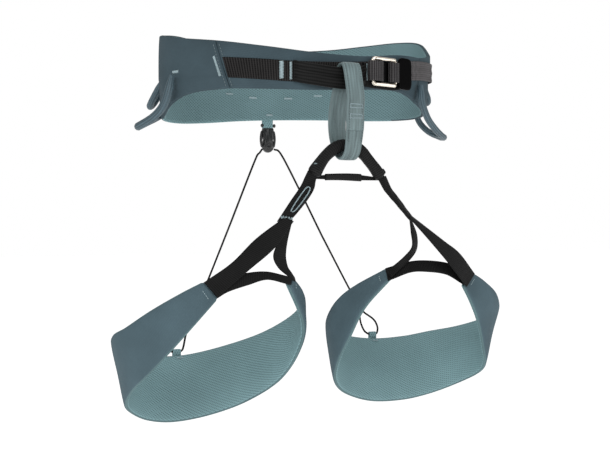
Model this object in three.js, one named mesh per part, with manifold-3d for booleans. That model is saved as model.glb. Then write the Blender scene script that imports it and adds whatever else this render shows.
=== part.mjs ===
// Climbing harness: padded waist belt, waist buckle, belay loop, leg bridge, two padded leg loops
// and the elastic rear suspension. Millimetres, +Z up, front toward -Y, wearer's left toward +X.
// The origin is the centre of the waist opening, at the height of the waist webbing's belt.
import * as THREE from 'three';
import { mergeVertices } from 'three/addons/utils/BufferGeometryUtils.js';
import Module from 'manifold-3d';

const wasm = await Module();
wasm.setup();

// ---- Driving dimensions -------------------------------------------------------------------
const GAP = 0.35;                 // clearance kept between touching pieces

const WAIST_X = 151;              // waist ellipse, half width
const WAIST_Y = 104;              // waist ellipse, half depth
const WAIST_SHIFT = -4;           // the closed belt sits this far toward the wearer's right
const HIP_TAPER = 6;              // the bottom rim draws in this far at the wearer's left hip
const LINING = 2.5;               // mesh lining thickness
const SHELL = 2.6;                // laminated outer fabric with its foam
const BELT_STEP = 5;              // degrees between belt sections

// Height of the belt's top and bottom rim every 20 degrees. 0 is the wearer's left hip, 90 the
// back, -90 the front.
const RIM_STEP = 20;
const RIM_START = -180;
const RIM_TOP = [31, 23.5, 18, 12, 7, 7, 16, 22, 33, 46, 50, 49, 45, 42, 41.5, 43, 44, 38];
const RIM_BOTTOM = [-44, -33, -29.5, -30, -30, -27, -25.5, -36, -42, -43, -42, -40.5, -39, -39.5,
  -42.5, -48, -52, -52];

const SEAM_RIGHT = -135;          // where the webbing leaves the belt's right side panel
const SEAM_LEFT = -46;
const BACK_LEFT = 22;
const BACK_RIGHT = 158;

const WEBBING = 20.5;             // width of the waist webbing
const WEBBING_THICK = 1.8;
const BELAY_WIDTH = 19.5;
const BELAY_THICK = 2.6;
const ARCH_RADIUS = 6.8;          // tubular leg bridge
const STRAP_THICK = 1.6;          // leg riser webbing
const CORD_RADIUS = 1.15;         // elastic cord of the rear suspension
const KNOT_RADIUS = 2.8;
const GEAR_RADIUS = 2.9;          // moulded gear loops

// ---- Colours ------------------------------------------------------------------------------
const shellPaint = new THREE.MeshStandardMaterial({ color: 0x4c5f67, roughness: 0.8 });
const meshPaint = new THREE.MeshStandardMaterial({ color: 0x6c868a, roughness: 0.9 });
const webPaint = new THREE.MeshStandardMaterial({ color: 0x2e2c2b, roughness: 0.75 });
const blackPaint = new THREE.MeshStandardMaterial({ color: 0x1c1c1c, roughness: 0.7 });
const belayPaint = new THREE.MeshStandardMaterial({ color: 0x7b8d8f, roughness: 0.7 });
const gearPaint = new THREE.MeshStandardMaterial({ color: 0x44575f, roughness: 0.5 });
const plasticPaint = new THREE.MeshStandardMaterial({ color: 0x2a2a2e, roughness: 0.4 });
const metalPaint = new THREE.MeshStandardMaterial({ color: 0xe6dcc8, roughness: 0.2, metalness: 1 });

const harness = new THREE.Group();

function add(name, geometry, material) {
  const mesh = new THREE.Mesh(geometry, material);
  mesh.name = name;
  harness.add(mesh);
  return mesh;
}

// ---- Geometry helpers ---------------------------------------------------------------------
const vec = (p) => new THREE.Vector3(p[0], p[1], p[2]);

// Even samples of a Catmull-Rom curve through a short list of points.
function smooth(points, steps, closed = false) {
  const curve = new THREE.CatmullRomCurve3(points.map(vec), closed, 'catmullrom', 0.5);
  const samples = curve.getPoints(steps);
  if (closed) samples.pop();
  return samples;
}

function signedVolume(vertices, triangles) {
  let volume = 0;
  for (const [a, b, c] of triangles) {
    volume += vertices[a].dot(new THREE.Vector3().crossVectors(vertices[b], vertices[c]));
  }
  return volume / 6;
}

// A closed body from vertices and triangles, turned to face outward.
function body(vertices, triangles) {
  const inward = signedVolume(vertices, triangles) < 0;
  const index = triangles.flatMap(([a, b, c]) => (inward ? [a, c, b] : [a, b, c]));
  const geometry = new THREE.BufferGeometry();
  geometry.setAttribute('position',
    new THREE.Float32BufferAttribute(vertices.flatMap((v) => [v.x, v.y, v.z]), 3));
  geometry.setIndex(index);
  geometry.computeVertexNormals();
  return geometry;
}

// Joins rings of four corners into a tube of quads, closed on itself or capped at both ends. The
// inner and outer face are split along the same diagonal, so stacked strips stay parallel.
function loft(sections, closed) {
  const vertices = sections.flat();
  const triangles = [];
  const count = sections.length;
  const last = closed ? count : count - 1;
  for (let i = 0; i < last; i += 1) {
    const j = (i + 1) % count;
    for (let k = 0; k < 4; k += 1) {
      const m = (k + 1) % 4;
      const [a, b, c, d] = [4 * i + k, 4 * i + m, 4 * j + m, 4 * j + k];
      if (k === 2) triangles.push([a, b, d], [b, c, d]);
      else triangles.push([a, b, c], [a, c, d]);
    }
  }
  if (!closed) {
    const e = 4 * (count - 1);
    triangles.push([0, 2, 1], [0, 3, 2], [e, e + 1, e + 2], [e, e + 2, e + 3]);
  }
  return body(vertices, triangles);
}

// A flexible strip between a top edge and a bottom edge. Its inner face lies at "inner" and its
// outer face at "outer" along travel x (top - bottom), which points away from the wearer.
function strip(top, bottom, inner, outer, closed = false) {
  const count = top.length;
  const sections = top.map((t, i) => {
    const next = closed ? (i + 1) % count : Math.min(i + 1, count - 1);
    const back = closed ? (i - 1 + count) % count : Math.max(i - 1, 0);
    const middle = (k) => top[k].clone().add(bottom[k]).multiplyScalar(0.5);
    const travel = middle(next).sub(middle(back));
    const across = t.clone().sub(bottom[i]);
    const normal = travel.cross(across).normalize();
    const at = (p, d) => p.clone().addScaledVector(normal, d);
    return [at(bottom[i], inner), at(t, inner), at(t, outer), at(bottom[i], outer)];
  });
  return loft(sections, closed);
}

// Webbing of one width along a line of centre points, with the direction across it.
function webbing(points, across, width, inner, outer, steps, closed = false) {
  const centre = smooth(points, steps, closed);
  const half = vec(across).normalize().multiplyScalar(width / 2);
  const top = centre.map((p) => p.clone().add(half));
  const bottom = centre.map((p) => p.clone().sub(half));
  return strip(top, bottom, inner, outer, closed);
}

// A round cord or tube along a curve, with closed ends.
function tube(points, radius, steps, sides) {
  const curve = new THREE.CatmullRomCurve3(points.map(vec), false, 'catmullrom', 0.5);
  const outline = new THREE.Shape();
  for (let i = 0; i < sides; i += 1) {
    const a = (2 * Math.PI * i) / sides;
    const x = radius * Math.cos(a);
    const y = radius * Math.sin(a);
    if (i === 0) outline.moveTo(x, y);
    else outline.lineTo(x, y);
  }
  outline.closePath();
  return new THREE.ExtrudeGeometry(outline, { steps, extrudePath: curve, bevelEnabled: false });
}

function toSolid(geometry) {
  const plain = geometry.clone();
  plain.deleteAttribute('normal');
  plain.deleteAttribute('uv');
  const merged = mergeVertices(plain, 1e-4);
  return new wasm.Manifold(new wasm.Mesh({
    numProp: 3,
    vertProperties: new Float32Array(merged.attributes.position.array),
    triVerts: new Uint32Array(merged.index.array),
  }));
}

function fromSolid(solid) {
  const mesh = solid.getMesh();
  const geometry = new THREE.BufferGeometry();
  geometry.setAttribute('position', new THREE.Float32BufferAttribute(mesh.vertProperties, 3));
  geometry.setIndex(Array.from(mesh.triVerts));
  geometry.computeVertexNormals();
  return geometry;
}

const cut = (a, b) => fromSolid(toSolid(a).subtract(toSolid(b)));

function box(sx, sy, sz, x, y, z) {
  return new THREE.BoxGeometry(sx, sy, sz).translate(x, y, z);
}

// A flat rounded rectangle, w by h, t thick, centred on the origin and facing +Z.
function roundedPlate(w, h, r, t) {
  const s = new THREE.Shape();
  s.moveTo(-w / 2 + r, -h / 2);
  s.lineTo(w / 2 - r, -h / 2);
  s.absarc(w / 2 - r, -h / 2 + r, r, -Math.PI / 2, 0);
  s.lineTo(w / 2, h / 2 - r);
  s.absarc(w / 2 - r, h / 2 - r, r, 0, Math.PI / 2);
  s.lineTo(-w / 2 + r, h / 2);
  s.absarc(-w / 2 + r, h / 2 - r, r, Math.PI / 2, Math.PI);
  s.lineTo(-w / 2, -h / 2 + r);
  s.absarc(-w / 2 + r, -h / 2 + r, r, Math.PI, 1.5 * Math.PI);
  const solid = new THREE.ExtrudeGeometry(s, { depth: t, bevelEnabled: false, curveSegments: 3 });
  return solid.translate(0, 0, -t / 2);
}

// ---- The waist ellipse --------------------------------------------------------------------
// Rim height at an angle: a Catmull-Rom curve through the table, which closes on itself.
function rim(table, degrees) {
  const n = table.length;
  const u = (((degrees - RIM_START) / RIM_STEP) % n + n) % n;
  const i = Math.floor(u);
  const t = u - i;
  const [a, b, c, d] = [-1, 0, 1, 2].map((k) => table[(i + k + n) % n]);
  const slopeB = (c - a) / 2;
  const slopeC = (d - b) / 2;
  const t2 = t * t;
  const t3 = t2 * t;
  return (2 * t3 - 3 * t2 + 1) * b + (t3 - 2 * t2 + t) * slopeB
    + (-2 * t3 + 3 * t2) * c + (t3 - t2) * slopeC;
}

function onWaist(degrees, out, z) {
  const a = THREE.MathUtils.degToRad(degrees);
  return new THREE.Vector3(
    WAIST_SHIFT + (WAIST_X + out) * Math.cos(a),
    (WAIST_Y + out) * Math.sin(a),
    z);
}

function angles(from, to, step) {
  const n = Math.max(1, Math.round((to - from) / step));
  return Array.from({ length: n + 1 }, (_, i) => from + ((to - from) * i) / n);
}

// How far the bottom rim is drawn in: all of HIP_TAPER at the left hip, nothing on the right.
function taper(degrees) {
  const c = Math.max(0, Math.cos(THREE.MathUtils.degToRad(degrees)));
  return -HIP_TAPER * c * c;
}

// The belt between its rims at a list of angles, shorter than the rims by "inset" all round.
function beltStrip(list, inner, outer, inset, closed) {
  const top = list.map((d) => onWaist(d, 0, rim(RIM_TOP, d) - inset));
  const bottom = list.map((d) => onWaist(d, taper(d), rim(RIM_BOTTOM, d) + inset));
  return strip(top, bottom, inner, outer, closed);
}

function beltSection(from, to, inner, outer) {
  return beltStrip(angles(from, to, BELT_STEP), inner, outer, 0, false);
}

function beltRing(inner, outer, inset) {
  return beltStrip(angles(-180, 180, BELT_STEP).slice(0, -1), inner, outer, inset, true);
}

// Waist webbing: its centre height and stand-off at a few angles round the waist ellipse.
function waistStrap(stations, width, inner, outer, steps) {
  const centre = smooth(stations, steps).map(({ x: d, y: z, z: out }) => onWaist(d, out, z));
  const up = new THREE.Vector3(0, 0, width / 2);
  const top = centre.map((p) => p.clone().add(up));
  const bottom = centre.map((p) => p.clone().sub(up));
  return strip(top, bottom, inner, outer);
}

// ---- Waist belt ---------------------------------------------------------------------------
const SHELL_IN = GAP;
const SHELL_OUT = GAP + SHELL;
const SEAM = 0.15;                // half the gap between panels, in degrees
add('belt_lining', beltRing(-LINING, 0, 1), meshPaint);
add('belt_panel_right', beltSection(BACK_RIGHT - 360 + SEAM, SEAM_RIGHT - SEAM, SHELL_IN, SHELL_OUT),
  shellPaint);
add('belt_panel_front', beltSection(SEAM_RIGHT + SEAM, SEAM_LEFT - SEAM, SHELL_IN, SHELL_OUT),
  shellPaint);
add('belt_panel_left', beltSection(SEAM_LEFT + SEAM, BACK_LEFT - SEAM, SHELL_IN, SHELL_OUT),
  shellPaint);
add('belt_panel_back', beltSection(BACK_LEFT + SEAM, BACK_RIGHT - SEAM, SHELL_IN, SHELL_OUT),
  shellPaint);

const WEB_OUT = SHELL_OUT + GAP;  // inner face of the webbing above the waist ellipse
add('waist_webbing', waistStrap([[-134, -9, 0], [-120, -11.5, 0], [-108, -13, 0], [-92, -12, 0],
  [-78, -9, 0], [-72, -8.5, 0]], WEBBING, WEB_OUT, WEB_OUT + WEBBING_THICK, 18), webPaint);

// The tie-in loop stands off the webbing at the front centre, and is sewn down at both ends.
const TIE_IN = WEB_OUT + WEBBING_THICK + GAP;
const TIE_STAND = 8.2;
const TIE_IN_LINE = [[-110, -13, 0], [-106.5, -13.5, 0.4], [-101, -15.5, 5], [-95, -17.5, TIE_STAND],
  [-90, -18, TIE_STAND], [-85, -16, 5.5], [-82, -12.5, 0.6], [-80.5, -11, 0]];
add('tie_in_loop', waistStrap(TIE_IN_LINE, 22, TIE_IN, TIE_IN + 2.6, 28), blackPaint);

// ---- Waist buckle -------------------------------------------------------------------------
// Parts of the buckle are made flat, then stood on the belt at an angle, "out" from the ellipse.
function onBuckle(geometry, degrees, out, z) {
  const a = THREE.MathUtils.degToRad(degrees);
  const centre = onWaist(degrees, out, z);
  const outward = new THREE.Vector3(WAIST_Y * Math.cos(a), WAIST_X * Math.sin(a), 0).normalize();
  const up = new THREE.Vector3(0, 0, 1);
  const along = new THREE.Vector3().crossVectors(up, outward);
  const place = new THREE.Matrix4().makeBasis(along, up, outward).setPosition(centre);
  return geometry.applyMatrix4(place);
}
const BUCKLE_ANGLE = -72;
const PLATE_ANGLE = -60.9;
const BUCKLE_Z = -8;
const BUCKLE_OUT = WEB_OUT + WEBBING_THICK + 4.6;
const frameRing = cut(roundedPlate(36, 31, 4, 3), roundedPlate(30, 24.6, 2, 8));
add('buckle_frame', onBuckle(frameRing, BUCKLE_ANGLE, BUCKLE_OUT, BUCKLE_Z), metalPaint);
const plateRing = cut(roundedPlate(18.4, 32, 6, 3.2), box(4.4, 23, 8, -3.4, 0, 0));
add('buckle_plate', onBuckle(plateRing, PLATE_ANGLE, BUCKLE_OUT + 0.4, BUCKLE_Z), blackPaint);
const buckleStrap = onBuckle(box(32, 20, 1.8, 0, 0, 0), BUCKLE_ANGLE, BUCKLE_OUT + 2.9, BUCKLE_Z);
add('buckle_strap', buckleStrap, webPaint);

add('webbing_tail', waistStrap([[-66, -8, 0], [-57, -7, 0], [-45, -4.5, 0.2], [-30, -3, 0.2],
  [-14, -2, 0.2], [2, -1, 0.2], [12, -0.5, 0.2]], WEBBING, WEB_OUT, WEB_OUT + WEBBING_THICK, 26),
  webPaint);
const KEEPER_ANGLE = -4;
const keeperRing = cut(roundedPlate(8, 26, 1.2, 5.6), box(12, 22, 3.4, 0, 0, 0));
add('tail_keeper', onBuckle(keeperRing, KEEPER_ANGLE, WEB_OUT + WEBBING_THICK / 2 + 0.2, -1.3),
  blackPaint);

// ---- Gear loops ---------------------------------------------------------------------------
// Each is a moulded tube that leaves the belt, flares outward and comes back to it.
const GEAR_LOOPS = {
  gear_loop_front_right: [[-159, -22, -15], [-162, -25, -30], [-165, -23, -44], [-172, -14, -55],
    [-182, 2, -63], [-181, 18, -62], [-173, 34, -57], [-163, 46, -44], [-155, 50, -28], [-149, 50, -14]],
  gear_loop_rear_right: [[-144, 58, -8], [-149, 64, -20], [-151, 74, -31], [-147, 86, -33],
    [-137, 94, -23], [-126, 90, -8]],
  gear_loop_front_left: [[106, -79, -16], [109, -80, -33], [116, -78, -47], [129, -68, -59],
    [146, -55, -66], [157, -38, -68], [159, -22, -64], [157, -4, -58], [152, 15, -50], [149, 30, -38],
    [147, 40, -22]],
  gear_loop_rear_left: [[157, 12, -4], [166, 16, -15], [173, 26, -22], [175, 42, -22],
    [167, 60, -14], [147, 52, -4]],
};
for (const [name, path] of Object.entries(GEAR_LOOPS)) {
  add(name, tube(path, GEAR_RADIUS, 26, 8), gearPaint);
}

// ---- Belay loop ---------------------------------------------------------------------------
// Centre line of the sewn ring in depth and height, seen from the wearer's left.
const BELAY_Y = -(WAIST_Y + TIE_IN + TIE_STAND + 1.3);
const BELAY_LINE = [[0, -2.8, -1], [-5.9, -8, -1], [-9, -24, 0], [-13, -40, 0], [-14.5, -52, 0],
  [-14.5, -68, 0], [-14, -82, -1], [-9.5, -94, -1], [-1, -99.2, -2], [8, -94, -3], [12.5, -82, -5],
  [13.5, -68, -6], [12.5, -52, -6], [9.4, -38, -5], [6.2, -26, -4], [6.9, -7.6, -2]];
add('belay_loop', webbing(BELAY_LINE.map(([y, z, x]) => [x, BELAY_Y + y, z]), [1, 0, 0], BELAY_WIDTH,
  -BELAY_THICK / 2, BELAY_THICK / 2, 48, true), belayPaint);

// ---- Leg bridge ---------------------------------------------------------------------------
const BRIDGE_Y = BELAY_Y;
const ARCH_LINE = [[-41.5, -115], [-38, -109], [-29, -97], [-18, -89], [-7, -85.6], [5, -87],
  [14, -92], [24, -101], [32, -109], [37, -116]];
add('leg_bridge_arch', tube(ARCH_LINE.map(([x, z]) => [x, BRIDGE_Y, z]), ARCH_RADIUS, 28, 12), blackPaint);

const CROSS_Z = -118;
const CROSS_Y = BRIDGE_Y + 2;
const UP = [0, 0, 1];
const crossLine = (from, to) => [[from, CROSS_Y, CROSS_Z], [to, CROSS_Y, CROSS_Z]];
add('cross_strap', webbing(crossLine(-31.5, 26.5), UP, 4.4, -0.9, 0.9, 8), blackPaint);
const sleeveOuter = webbing(crossLine(-26, 13), UP, 7.4, -2.3, 2.3, 4);
const sleeveBore = webbing(crossLine(-32, 19), UP, 5.2, -1.3, 1.3, 4);
add('cross_strap_sleeve', cut(sleeveOuter, sleeveBore), blackPaint);

// A strap between two edges, each a short list of points. Travel runs so that travel x (first
// edge - second edge) points away from the wearer.
function edged(first, second, inner, outer, steps) {
  return strip(smooth(first, steps), smooth(second, steps), inner, outer);
}

const half = STRAP_THICK / 2;
add('riser_right', edged(
  [[-38, -119, -122], [-41, -118.5, -130], [-48, -117, -141], [-58, -115, -154], [-62.5, -114, -160]],
  [[-49, -119, -118], [-54, -118.5, -128], [-63, -117, -141], [-71, -115, -153.5], [-73.5, -114, -157.5]],
  -half - 0.6, half + 0.6, 14), blackPaint);
add('riser_left', edged(
  [[49, -118, -117], [54, -113.5, -128], [63.5, -112, -140], [71.5, -110.5, -152], [75, -110, -156.5]],
  [[38, -121, -120], [42.5, -122.5, -130], [52, -122.5, -141], [62, -121.5, -153], [66.5, -120.5, -158]],
  -half - 0.6, half + 0.6, 14), blackPaint);

// ---- Leg loops ----------------------------------------------------------------------------
// Hip-side and knee-side edge of each padded band, from its outer joint round the back of the
// thigh to its inner joint.
const RIGHT_HIP_EDGE = [[-146, -98, -220], [-168, -94, -231], [-194, -84, -247], [-214, -66, -264],
  [-220, -40, -274], [-209, -4, -288], [-180, 32, -303], [-143, 55, -310], [-109, 61, -310],
  [-69, 53, -301], [-35, 29, -286], [-17, -8, -266], [-16, -42, -248], [-29, -66, -232], [-49, -86, -216]];
const RIGHT_KNEE_EDGE = [[-134, -104, -235], [-159, -106, -260], [-182, -102, -285], [-200, -90, -307],
  [-208, -66, -324], [-206, -34, -342], [-195, -12, -355], [-174, -2, -366], [-143, 5, -371],
  [-101, 9, -367], [-62, 2, -354], [-32, -16, -331], [-20, -38, -300], [-24, -62, -268], [-53, -90, -225]];
const LEFT_HIP_EDGE = [[166, -84, -217], [187, -76, -227], [212, -62, -242], [232, -38, -261],
  [239, -12, -273], [233, 10, -281], [215, 30, -289], [190, 47, -295], [162, 59, -301],
  [124, 64, -303], [82, 54, -297], [44, 22, -284], [21, -20, -267], [21, -44, -246], [33, -64, -229],
  [60, -86, -210]];
const LEFT_KNEE_EDGE = [[147, -98, -230], [157, -98, -248], [170, -92, -270], [184, -80, -297],
  [201, -58, -319], [209, -34, -334], [200, -8, -348], [167, 5, -361], [131, 9, -367], [88, 6, -365],
  [47, -10, -351], [24, -32, -332], [16, -56, -309], [20, -74, -283], [32, -86, -251], [57, -95, -221]];
const PAD_LINING = 3.6;            // inner face of the mesh lining, behind the drawn edge
const PAD_SHELL = 2.2;
const PAD_OUT = 0.8;               // outer face of the shell, in front of the drawn edge
const PAD_STEPS = 56;

function legPad(side, hipEdge, kneeEdge, travel) {
  const hip = smooth(hipEdge, PAD_STEPS);
  const knee = smooth(kneeEdge, PAD_STEPS);
  const s = travel;
  add(`leg_pad_shell_${side}`, strip(hip, knee, s * (PAD_OUT - PAD_SHELL), s * PAD_OUT), shellPaint);
  add(`leg_pad_lining_${side}`, strip(hip, knee, -s * PAD_LINING, s * (PAD_OUT - PAD_SHELL - GAP)),
    meshPaint);
}
legPad('right', RIGHT_HIP_EDGE, RIGHT_KNEE_EDGE, -1);
legPad('left', LEFT_HIP_EDGE, LEFT_KNEE_EDGE, 1);

// Riser straps from the split down to both joints of the pad, and the band across the front.
add('outer_strap_right', edged(
  [[-63, -116.5, -165.5], [-80, -115, -188], [-106, -112, -209.5], [-134, -107, -233.5]],
  [[-73.5, -116.5, -160], [-99, -114.5, -178.5], [-122, -111, -201], [-146, -102, -219]],
  -half, half, 14), webPaint);
add('inner_strap_right', edged(
  [[-60, -111, -164.5], [-62, -106, -181], [-61.5, -101, -195], [-57, -95, -206], [-50, -88, -213]],
  [[-69, -112, -165.5], [-74.5, -107, -185], [-75.5, -102, -197], [-68, -98, -208], [-55, -95, -217]],
  -half, half, 14), webPaint);
add('front_band_right', edged(
  [[-144, -99, -219.5], [-122, -104, -215], [-103, -105, -211], [-82, -102, -210.5], [-58, -95, -215.5]],
  [[-133, -103, -235], [-123, -106, -229], [-103, -107, -223], [-83, -105, -218.5], [-59, -96, -223.5]],
  -half, half, 16), webPaint);
add('outer_strap_left', edged(
  [[77, -113.5, -158.5], [114, -108, -181], [140, -99, -195], [165, -87.5, -216]],
  [[70, -121.5, -161], [90, -120, -180], [119, -112, -205.5], [145, -102.5, -229]],
  -half, half, 14), webPaint);
add('inner_strap_left', edged(
  [[76, -109, -161], [85, -104, -176], [86, -101, -191], [77, -100, -203], [63, -100.5, -214]],
  [[70, -117, -163], [72, -115, -172], [75, -112, -187], [68, -107, -198], [60, -94, -209]],
  -half, half, 14), webPaint);
add('front_band_left', edged(
  [[62.5, -89, -208.5], [76, -95, -204], [95, -98, -202], [126, -95.5, -205], [161.5, -84, -215]],
  [[60, -98.5, -221], [79, -101.5, -214.5], [96, -103, -214], [122, -101.5, -217.5], [145, -97, -228]],
  -half, half, 16), webPaint);

// ---- Rear suspension ----------------------------------------------------------------------
const REAR_Y = WAIST_Y + 1.5;
add('rear_tab', box(9, 2.2, 12, 3, REAR_Y + 2.8, -43.5), meshPaint);
const CLIP_X = 3.5;
const CLIP_Y = REAR_Y + 2.8;
const clipSlot = box(12, 3.4, 5, CLIP_X, CLIP_Y, -50.4);
add('clip_insert', cut(box(19, 7, 12, CLIP_X, CLIP_Y, -55.2), clipSlot), plasticPaint);
add('clip_socket', box(10.4, 8.5, 16, CLIP_X, CLIP_Y, -69.8), plasticPaint);
for (const [name, side] of [['clip_prong_right', -1], ['clip_prong_left', 1]]) {
  add(name, box(2.4, 6, 11, CLIP_X + side * 8, CLIP_Y, -67.1), plasticPaint);
}

// Elastic cords: each is one line from the clip to the leg loop, in two nodes that meet in line.
const CORDS = {
  right: [[-4, 107, -74.5], [-8, 107, -80], [-14, 106, -89], [-47, 98, -162], [-78, 89, -228],
    [-93, 83.5, -258]],
  left: [[11, 107, -74.5], [20, 107, -80], [41, 104, -119], [70, 98, -178], [101, 90, -239],
    [114, 85, -264]],
};
const CORD_SPLIT = 3;             // index of the point where the upper and lower cord meet
const CORD_LOOPS = {
  right: [[-97.5, 81, -267], [-103, 78, -275], [-109, 74, -287], [-113.5, 69, -300], [-116.5, 66.4, -304.5],
    [-122, 66, -305.4], [-127, 66, -305.4], [-130, 67, -304.4]],
  left: [[114, 84, -272], [113.5, 80, -283], [115, 74.5, -292], [117.5, 70, -295.6], [121, 69, -296.4],
    [128, 69, -296.4], [132, 72, -294], [134, 76, -288], [131, 80, -280], [120.5, 83, -272]],
};
for (const [side, path] of Object.entries(CORDS)) {
  const upper = path.slice(0, CORD_SPLIT + 1);
  add(`rear_cord_upper_${side}`, tube(upper, CORD_RADIUS, 14, 8), blackPaint);
  const lower = path.slice(CORD_SPLIT);
  const from = vec(lower[0]);
  const toward = vec(lower[1]).sub(from).normalize();
  lower[0] = from.addScaledVector(toward, GAP).toArray();
  add(`rear_cord_lower_${side}`, tube(lower, CORD_RADIUS, 16, 8), blackPaint);
  const end = vec(path[path.length - 1]);
  const onward = end.clone().sub(vec(path[path.length - 2])).normalize();
  const knotCentre = end.addScaledVector(onward, KNOT_RADIUS + GAP);
  const knot = new THREE.SphereGeometry(KNOT_RADIUS, 10, 8);
  add(`cord_knot_${side}`, knot.translate(...knotCentre.toArray()), blackPaint);
  add(`cord_loop_${side}`, tube(CORD_LOOPS[side], CORD_RADIUS, 30, 8), blackPaint);
}
// Folded webbing tabs on the hip-side edge of the leg loops, which the cord loops run through.
function legTab(x, y, z) {
  return cut(box(9, 5, 9, x, y, z), box(12, 3.6, 3.4, x, y, z + 1.6));
}
add('leg_tab_right', legTab(-122.5, 66, -307), meshPaint);
add('leg_tab_left', legTab(123.5, 69, -298), meshPaint);

export default harness;
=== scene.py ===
"""Climbing harness: the looks of a padded sport harness, built around its packed frame.

Lengths in the shape tables are millimetres. Height runs up +Z, the wearer faces -Y, and the wearer's
left hip is toward +X. Angles round the waist start at the left hip, with 90 at the back and -90 in front.
"""

import math

import bpy
import numpy as np
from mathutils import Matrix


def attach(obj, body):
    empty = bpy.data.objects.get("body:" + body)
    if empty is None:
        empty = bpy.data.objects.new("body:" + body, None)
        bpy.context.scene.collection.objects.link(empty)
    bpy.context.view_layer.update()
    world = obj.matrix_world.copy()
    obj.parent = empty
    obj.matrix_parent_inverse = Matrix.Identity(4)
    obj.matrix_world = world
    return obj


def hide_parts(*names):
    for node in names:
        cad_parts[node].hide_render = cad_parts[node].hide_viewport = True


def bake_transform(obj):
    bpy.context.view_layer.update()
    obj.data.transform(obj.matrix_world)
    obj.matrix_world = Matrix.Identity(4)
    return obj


bl_info = {
    "name": "Climbing Harness",
    "version": (1, 0, 0),
    "blender": (4, 5, 0),
    "location": "3D Viewport > Sidebar > Harness",
    "description": "Builds the belt, webbing, buckle, leg loops and rear suspension of a climbing harness",
    "category": "Add Mesh",
}

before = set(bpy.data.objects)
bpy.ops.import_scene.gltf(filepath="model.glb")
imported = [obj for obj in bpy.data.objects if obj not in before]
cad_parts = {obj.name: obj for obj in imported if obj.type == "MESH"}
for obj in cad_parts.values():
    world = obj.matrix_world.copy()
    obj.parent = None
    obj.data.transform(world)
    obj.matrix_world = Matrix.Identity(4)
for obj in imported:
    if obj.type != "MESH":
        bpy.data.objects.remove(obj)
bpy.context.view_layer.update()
MM = 0.001
DETAIL_SEED = 7

# ---- Shape tables, in millimetres and degrees -------------------------------------------------

WAIST_X, WAIST_Y, WAIST_SHIFT = 151.0, 104.0, -4.0
HIP_TAPER = 6.0
FOLD_Z = -15.5
JOINS, JOIN_GAP = (-202.0, -137.7, -46, 22, 158), 0.15
RIM_START, RIM_STEP = -180.0, 20.0
RIM_TOP = [31, 23.5, 18, 12, 7, 6.5, 12.5, 15.5, 26, 44, 50, 49, 45, 42, 41.5, 43, 44, 38]
RIM_BOTTOM = [
    -44, -33, -29.5, -30, -30, -27, -25.5, -36, -42, -43, -42, -40.5, -39, -39.5, -42.5, -48, -52, -52,
]
SHELL_IN, SHELL_OUT = 0.35, 2.95
WEB_OUT, WEB_THICK, WEB_WIDTH = 3.3, 1.8, 20.5
TIE_IN = 5.45
BUCKLE_ANGLE, PLATE_ANGLE, BUCKLE_Z = -72.0, -60.9, -8.0
BUCKLE_OUT = 9.7
BELAY_Y = -118.95

WAIST_WEBBING = [
    [-136.4, -9, 0], [-120, -11.5, 0], [-108, -13, 0], [-92, -12, 0], [-78, -9, 0], [-70, -8.5, 0],
]
TIE_IN_LINE = [
    [-109, -13, 0], [-106.5, -13.5, 0.4], [-101, -15.5, 5], [-95, -17.5, 8.2], [-90, -18, 8.2],
    [-85, -16, 5.5], [-82, -12.5, 0.6], [-80.5, -11, 0],
]
WEBBING_TAIL = [
    [-66, -6, 0], [-57, -3.2, 0], [-45, 0, 0.2], [-30, 2.5, 0.2], [-14, 5.2, 0.2], [2, 6.5, 0.2],
    [12, 7, 0.2],
]
BELAY_LINE = [
    [0, -5.2, -1], [-5.9, -9.5, -1], [-9, -24, 0], [-13, -40, 0], [-14.5, -52, 0], [-14.5, -68, 0],
    [-14, -82, -1], [-9.5, -94, -1], [-1, -99.2, -2], [8, -94, -3], [12.5, -82, -5], [13.5, -68, -6],
    [12.5, -52, -6], [9.4, -38, -5], [6.2, -26, -4], [6.9, -9.4, -2],
]
ARCH_LINE = [
    [-39, -114.5], [-35.5, -108.5], [-27, -97.5], [-17, -89.4], [-7, -85.8], [4.5, -87], [13, -92],
    [21.5, -101], [29, -109.5], [33.5, -116],
]
GEAR_LOOPS = {
    "front_right": [
        [-157.5, -33, -13], [-161, -33, -29], [-165, -28, -44], [-172, -17, -55], [-182, 2, -63],
        [-177, 14, -61], [-164.5, 26, -55], [-153, 38, -49.5], [-145, 47, -44], [-141.5, 53, -37],
        [-140, 57, -27], [-139.5, 57, -15],
    ],
    "rear_right": [
        [-141, 56, -6], [-145, 62, -17], [-149, 72, -29], [-148.5, 80, -33.5], [-142, 87, -28],
        [-133, 89, -14],
    ],
    "front_left": [
        [104, -79.5, -15], [102.5, -83, -24], [102.5, -84.5, -33], [106.5, -82.8, -42],
        [115.5, -76.5, -52], [130, -67, -61], [144, -56, -66], [154, -45, -67], [161, -28, -65.5],
        [166, -12, -62.5], [166, 0, -59], [162, 6, -54.5], [158, 12, -47.5], [154.8, 14.5, -40],
        [151.5, 17, -26], [149.5, 20, -14],
    ],
    "rear_left": [
        [155.5, 2, -1], [159, 2, -11], [163, 4, -18], [166, 10, -22], [166, 18, -22], [163, 26, -17],
        [157, 32, -10], [151, 36, -4],
    ],
}
GEAR_RADIUS = {"front_right": 4.1, "rear_right": 3.8, "front_left": 3.5, "rear_left": 3.0}
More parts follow.
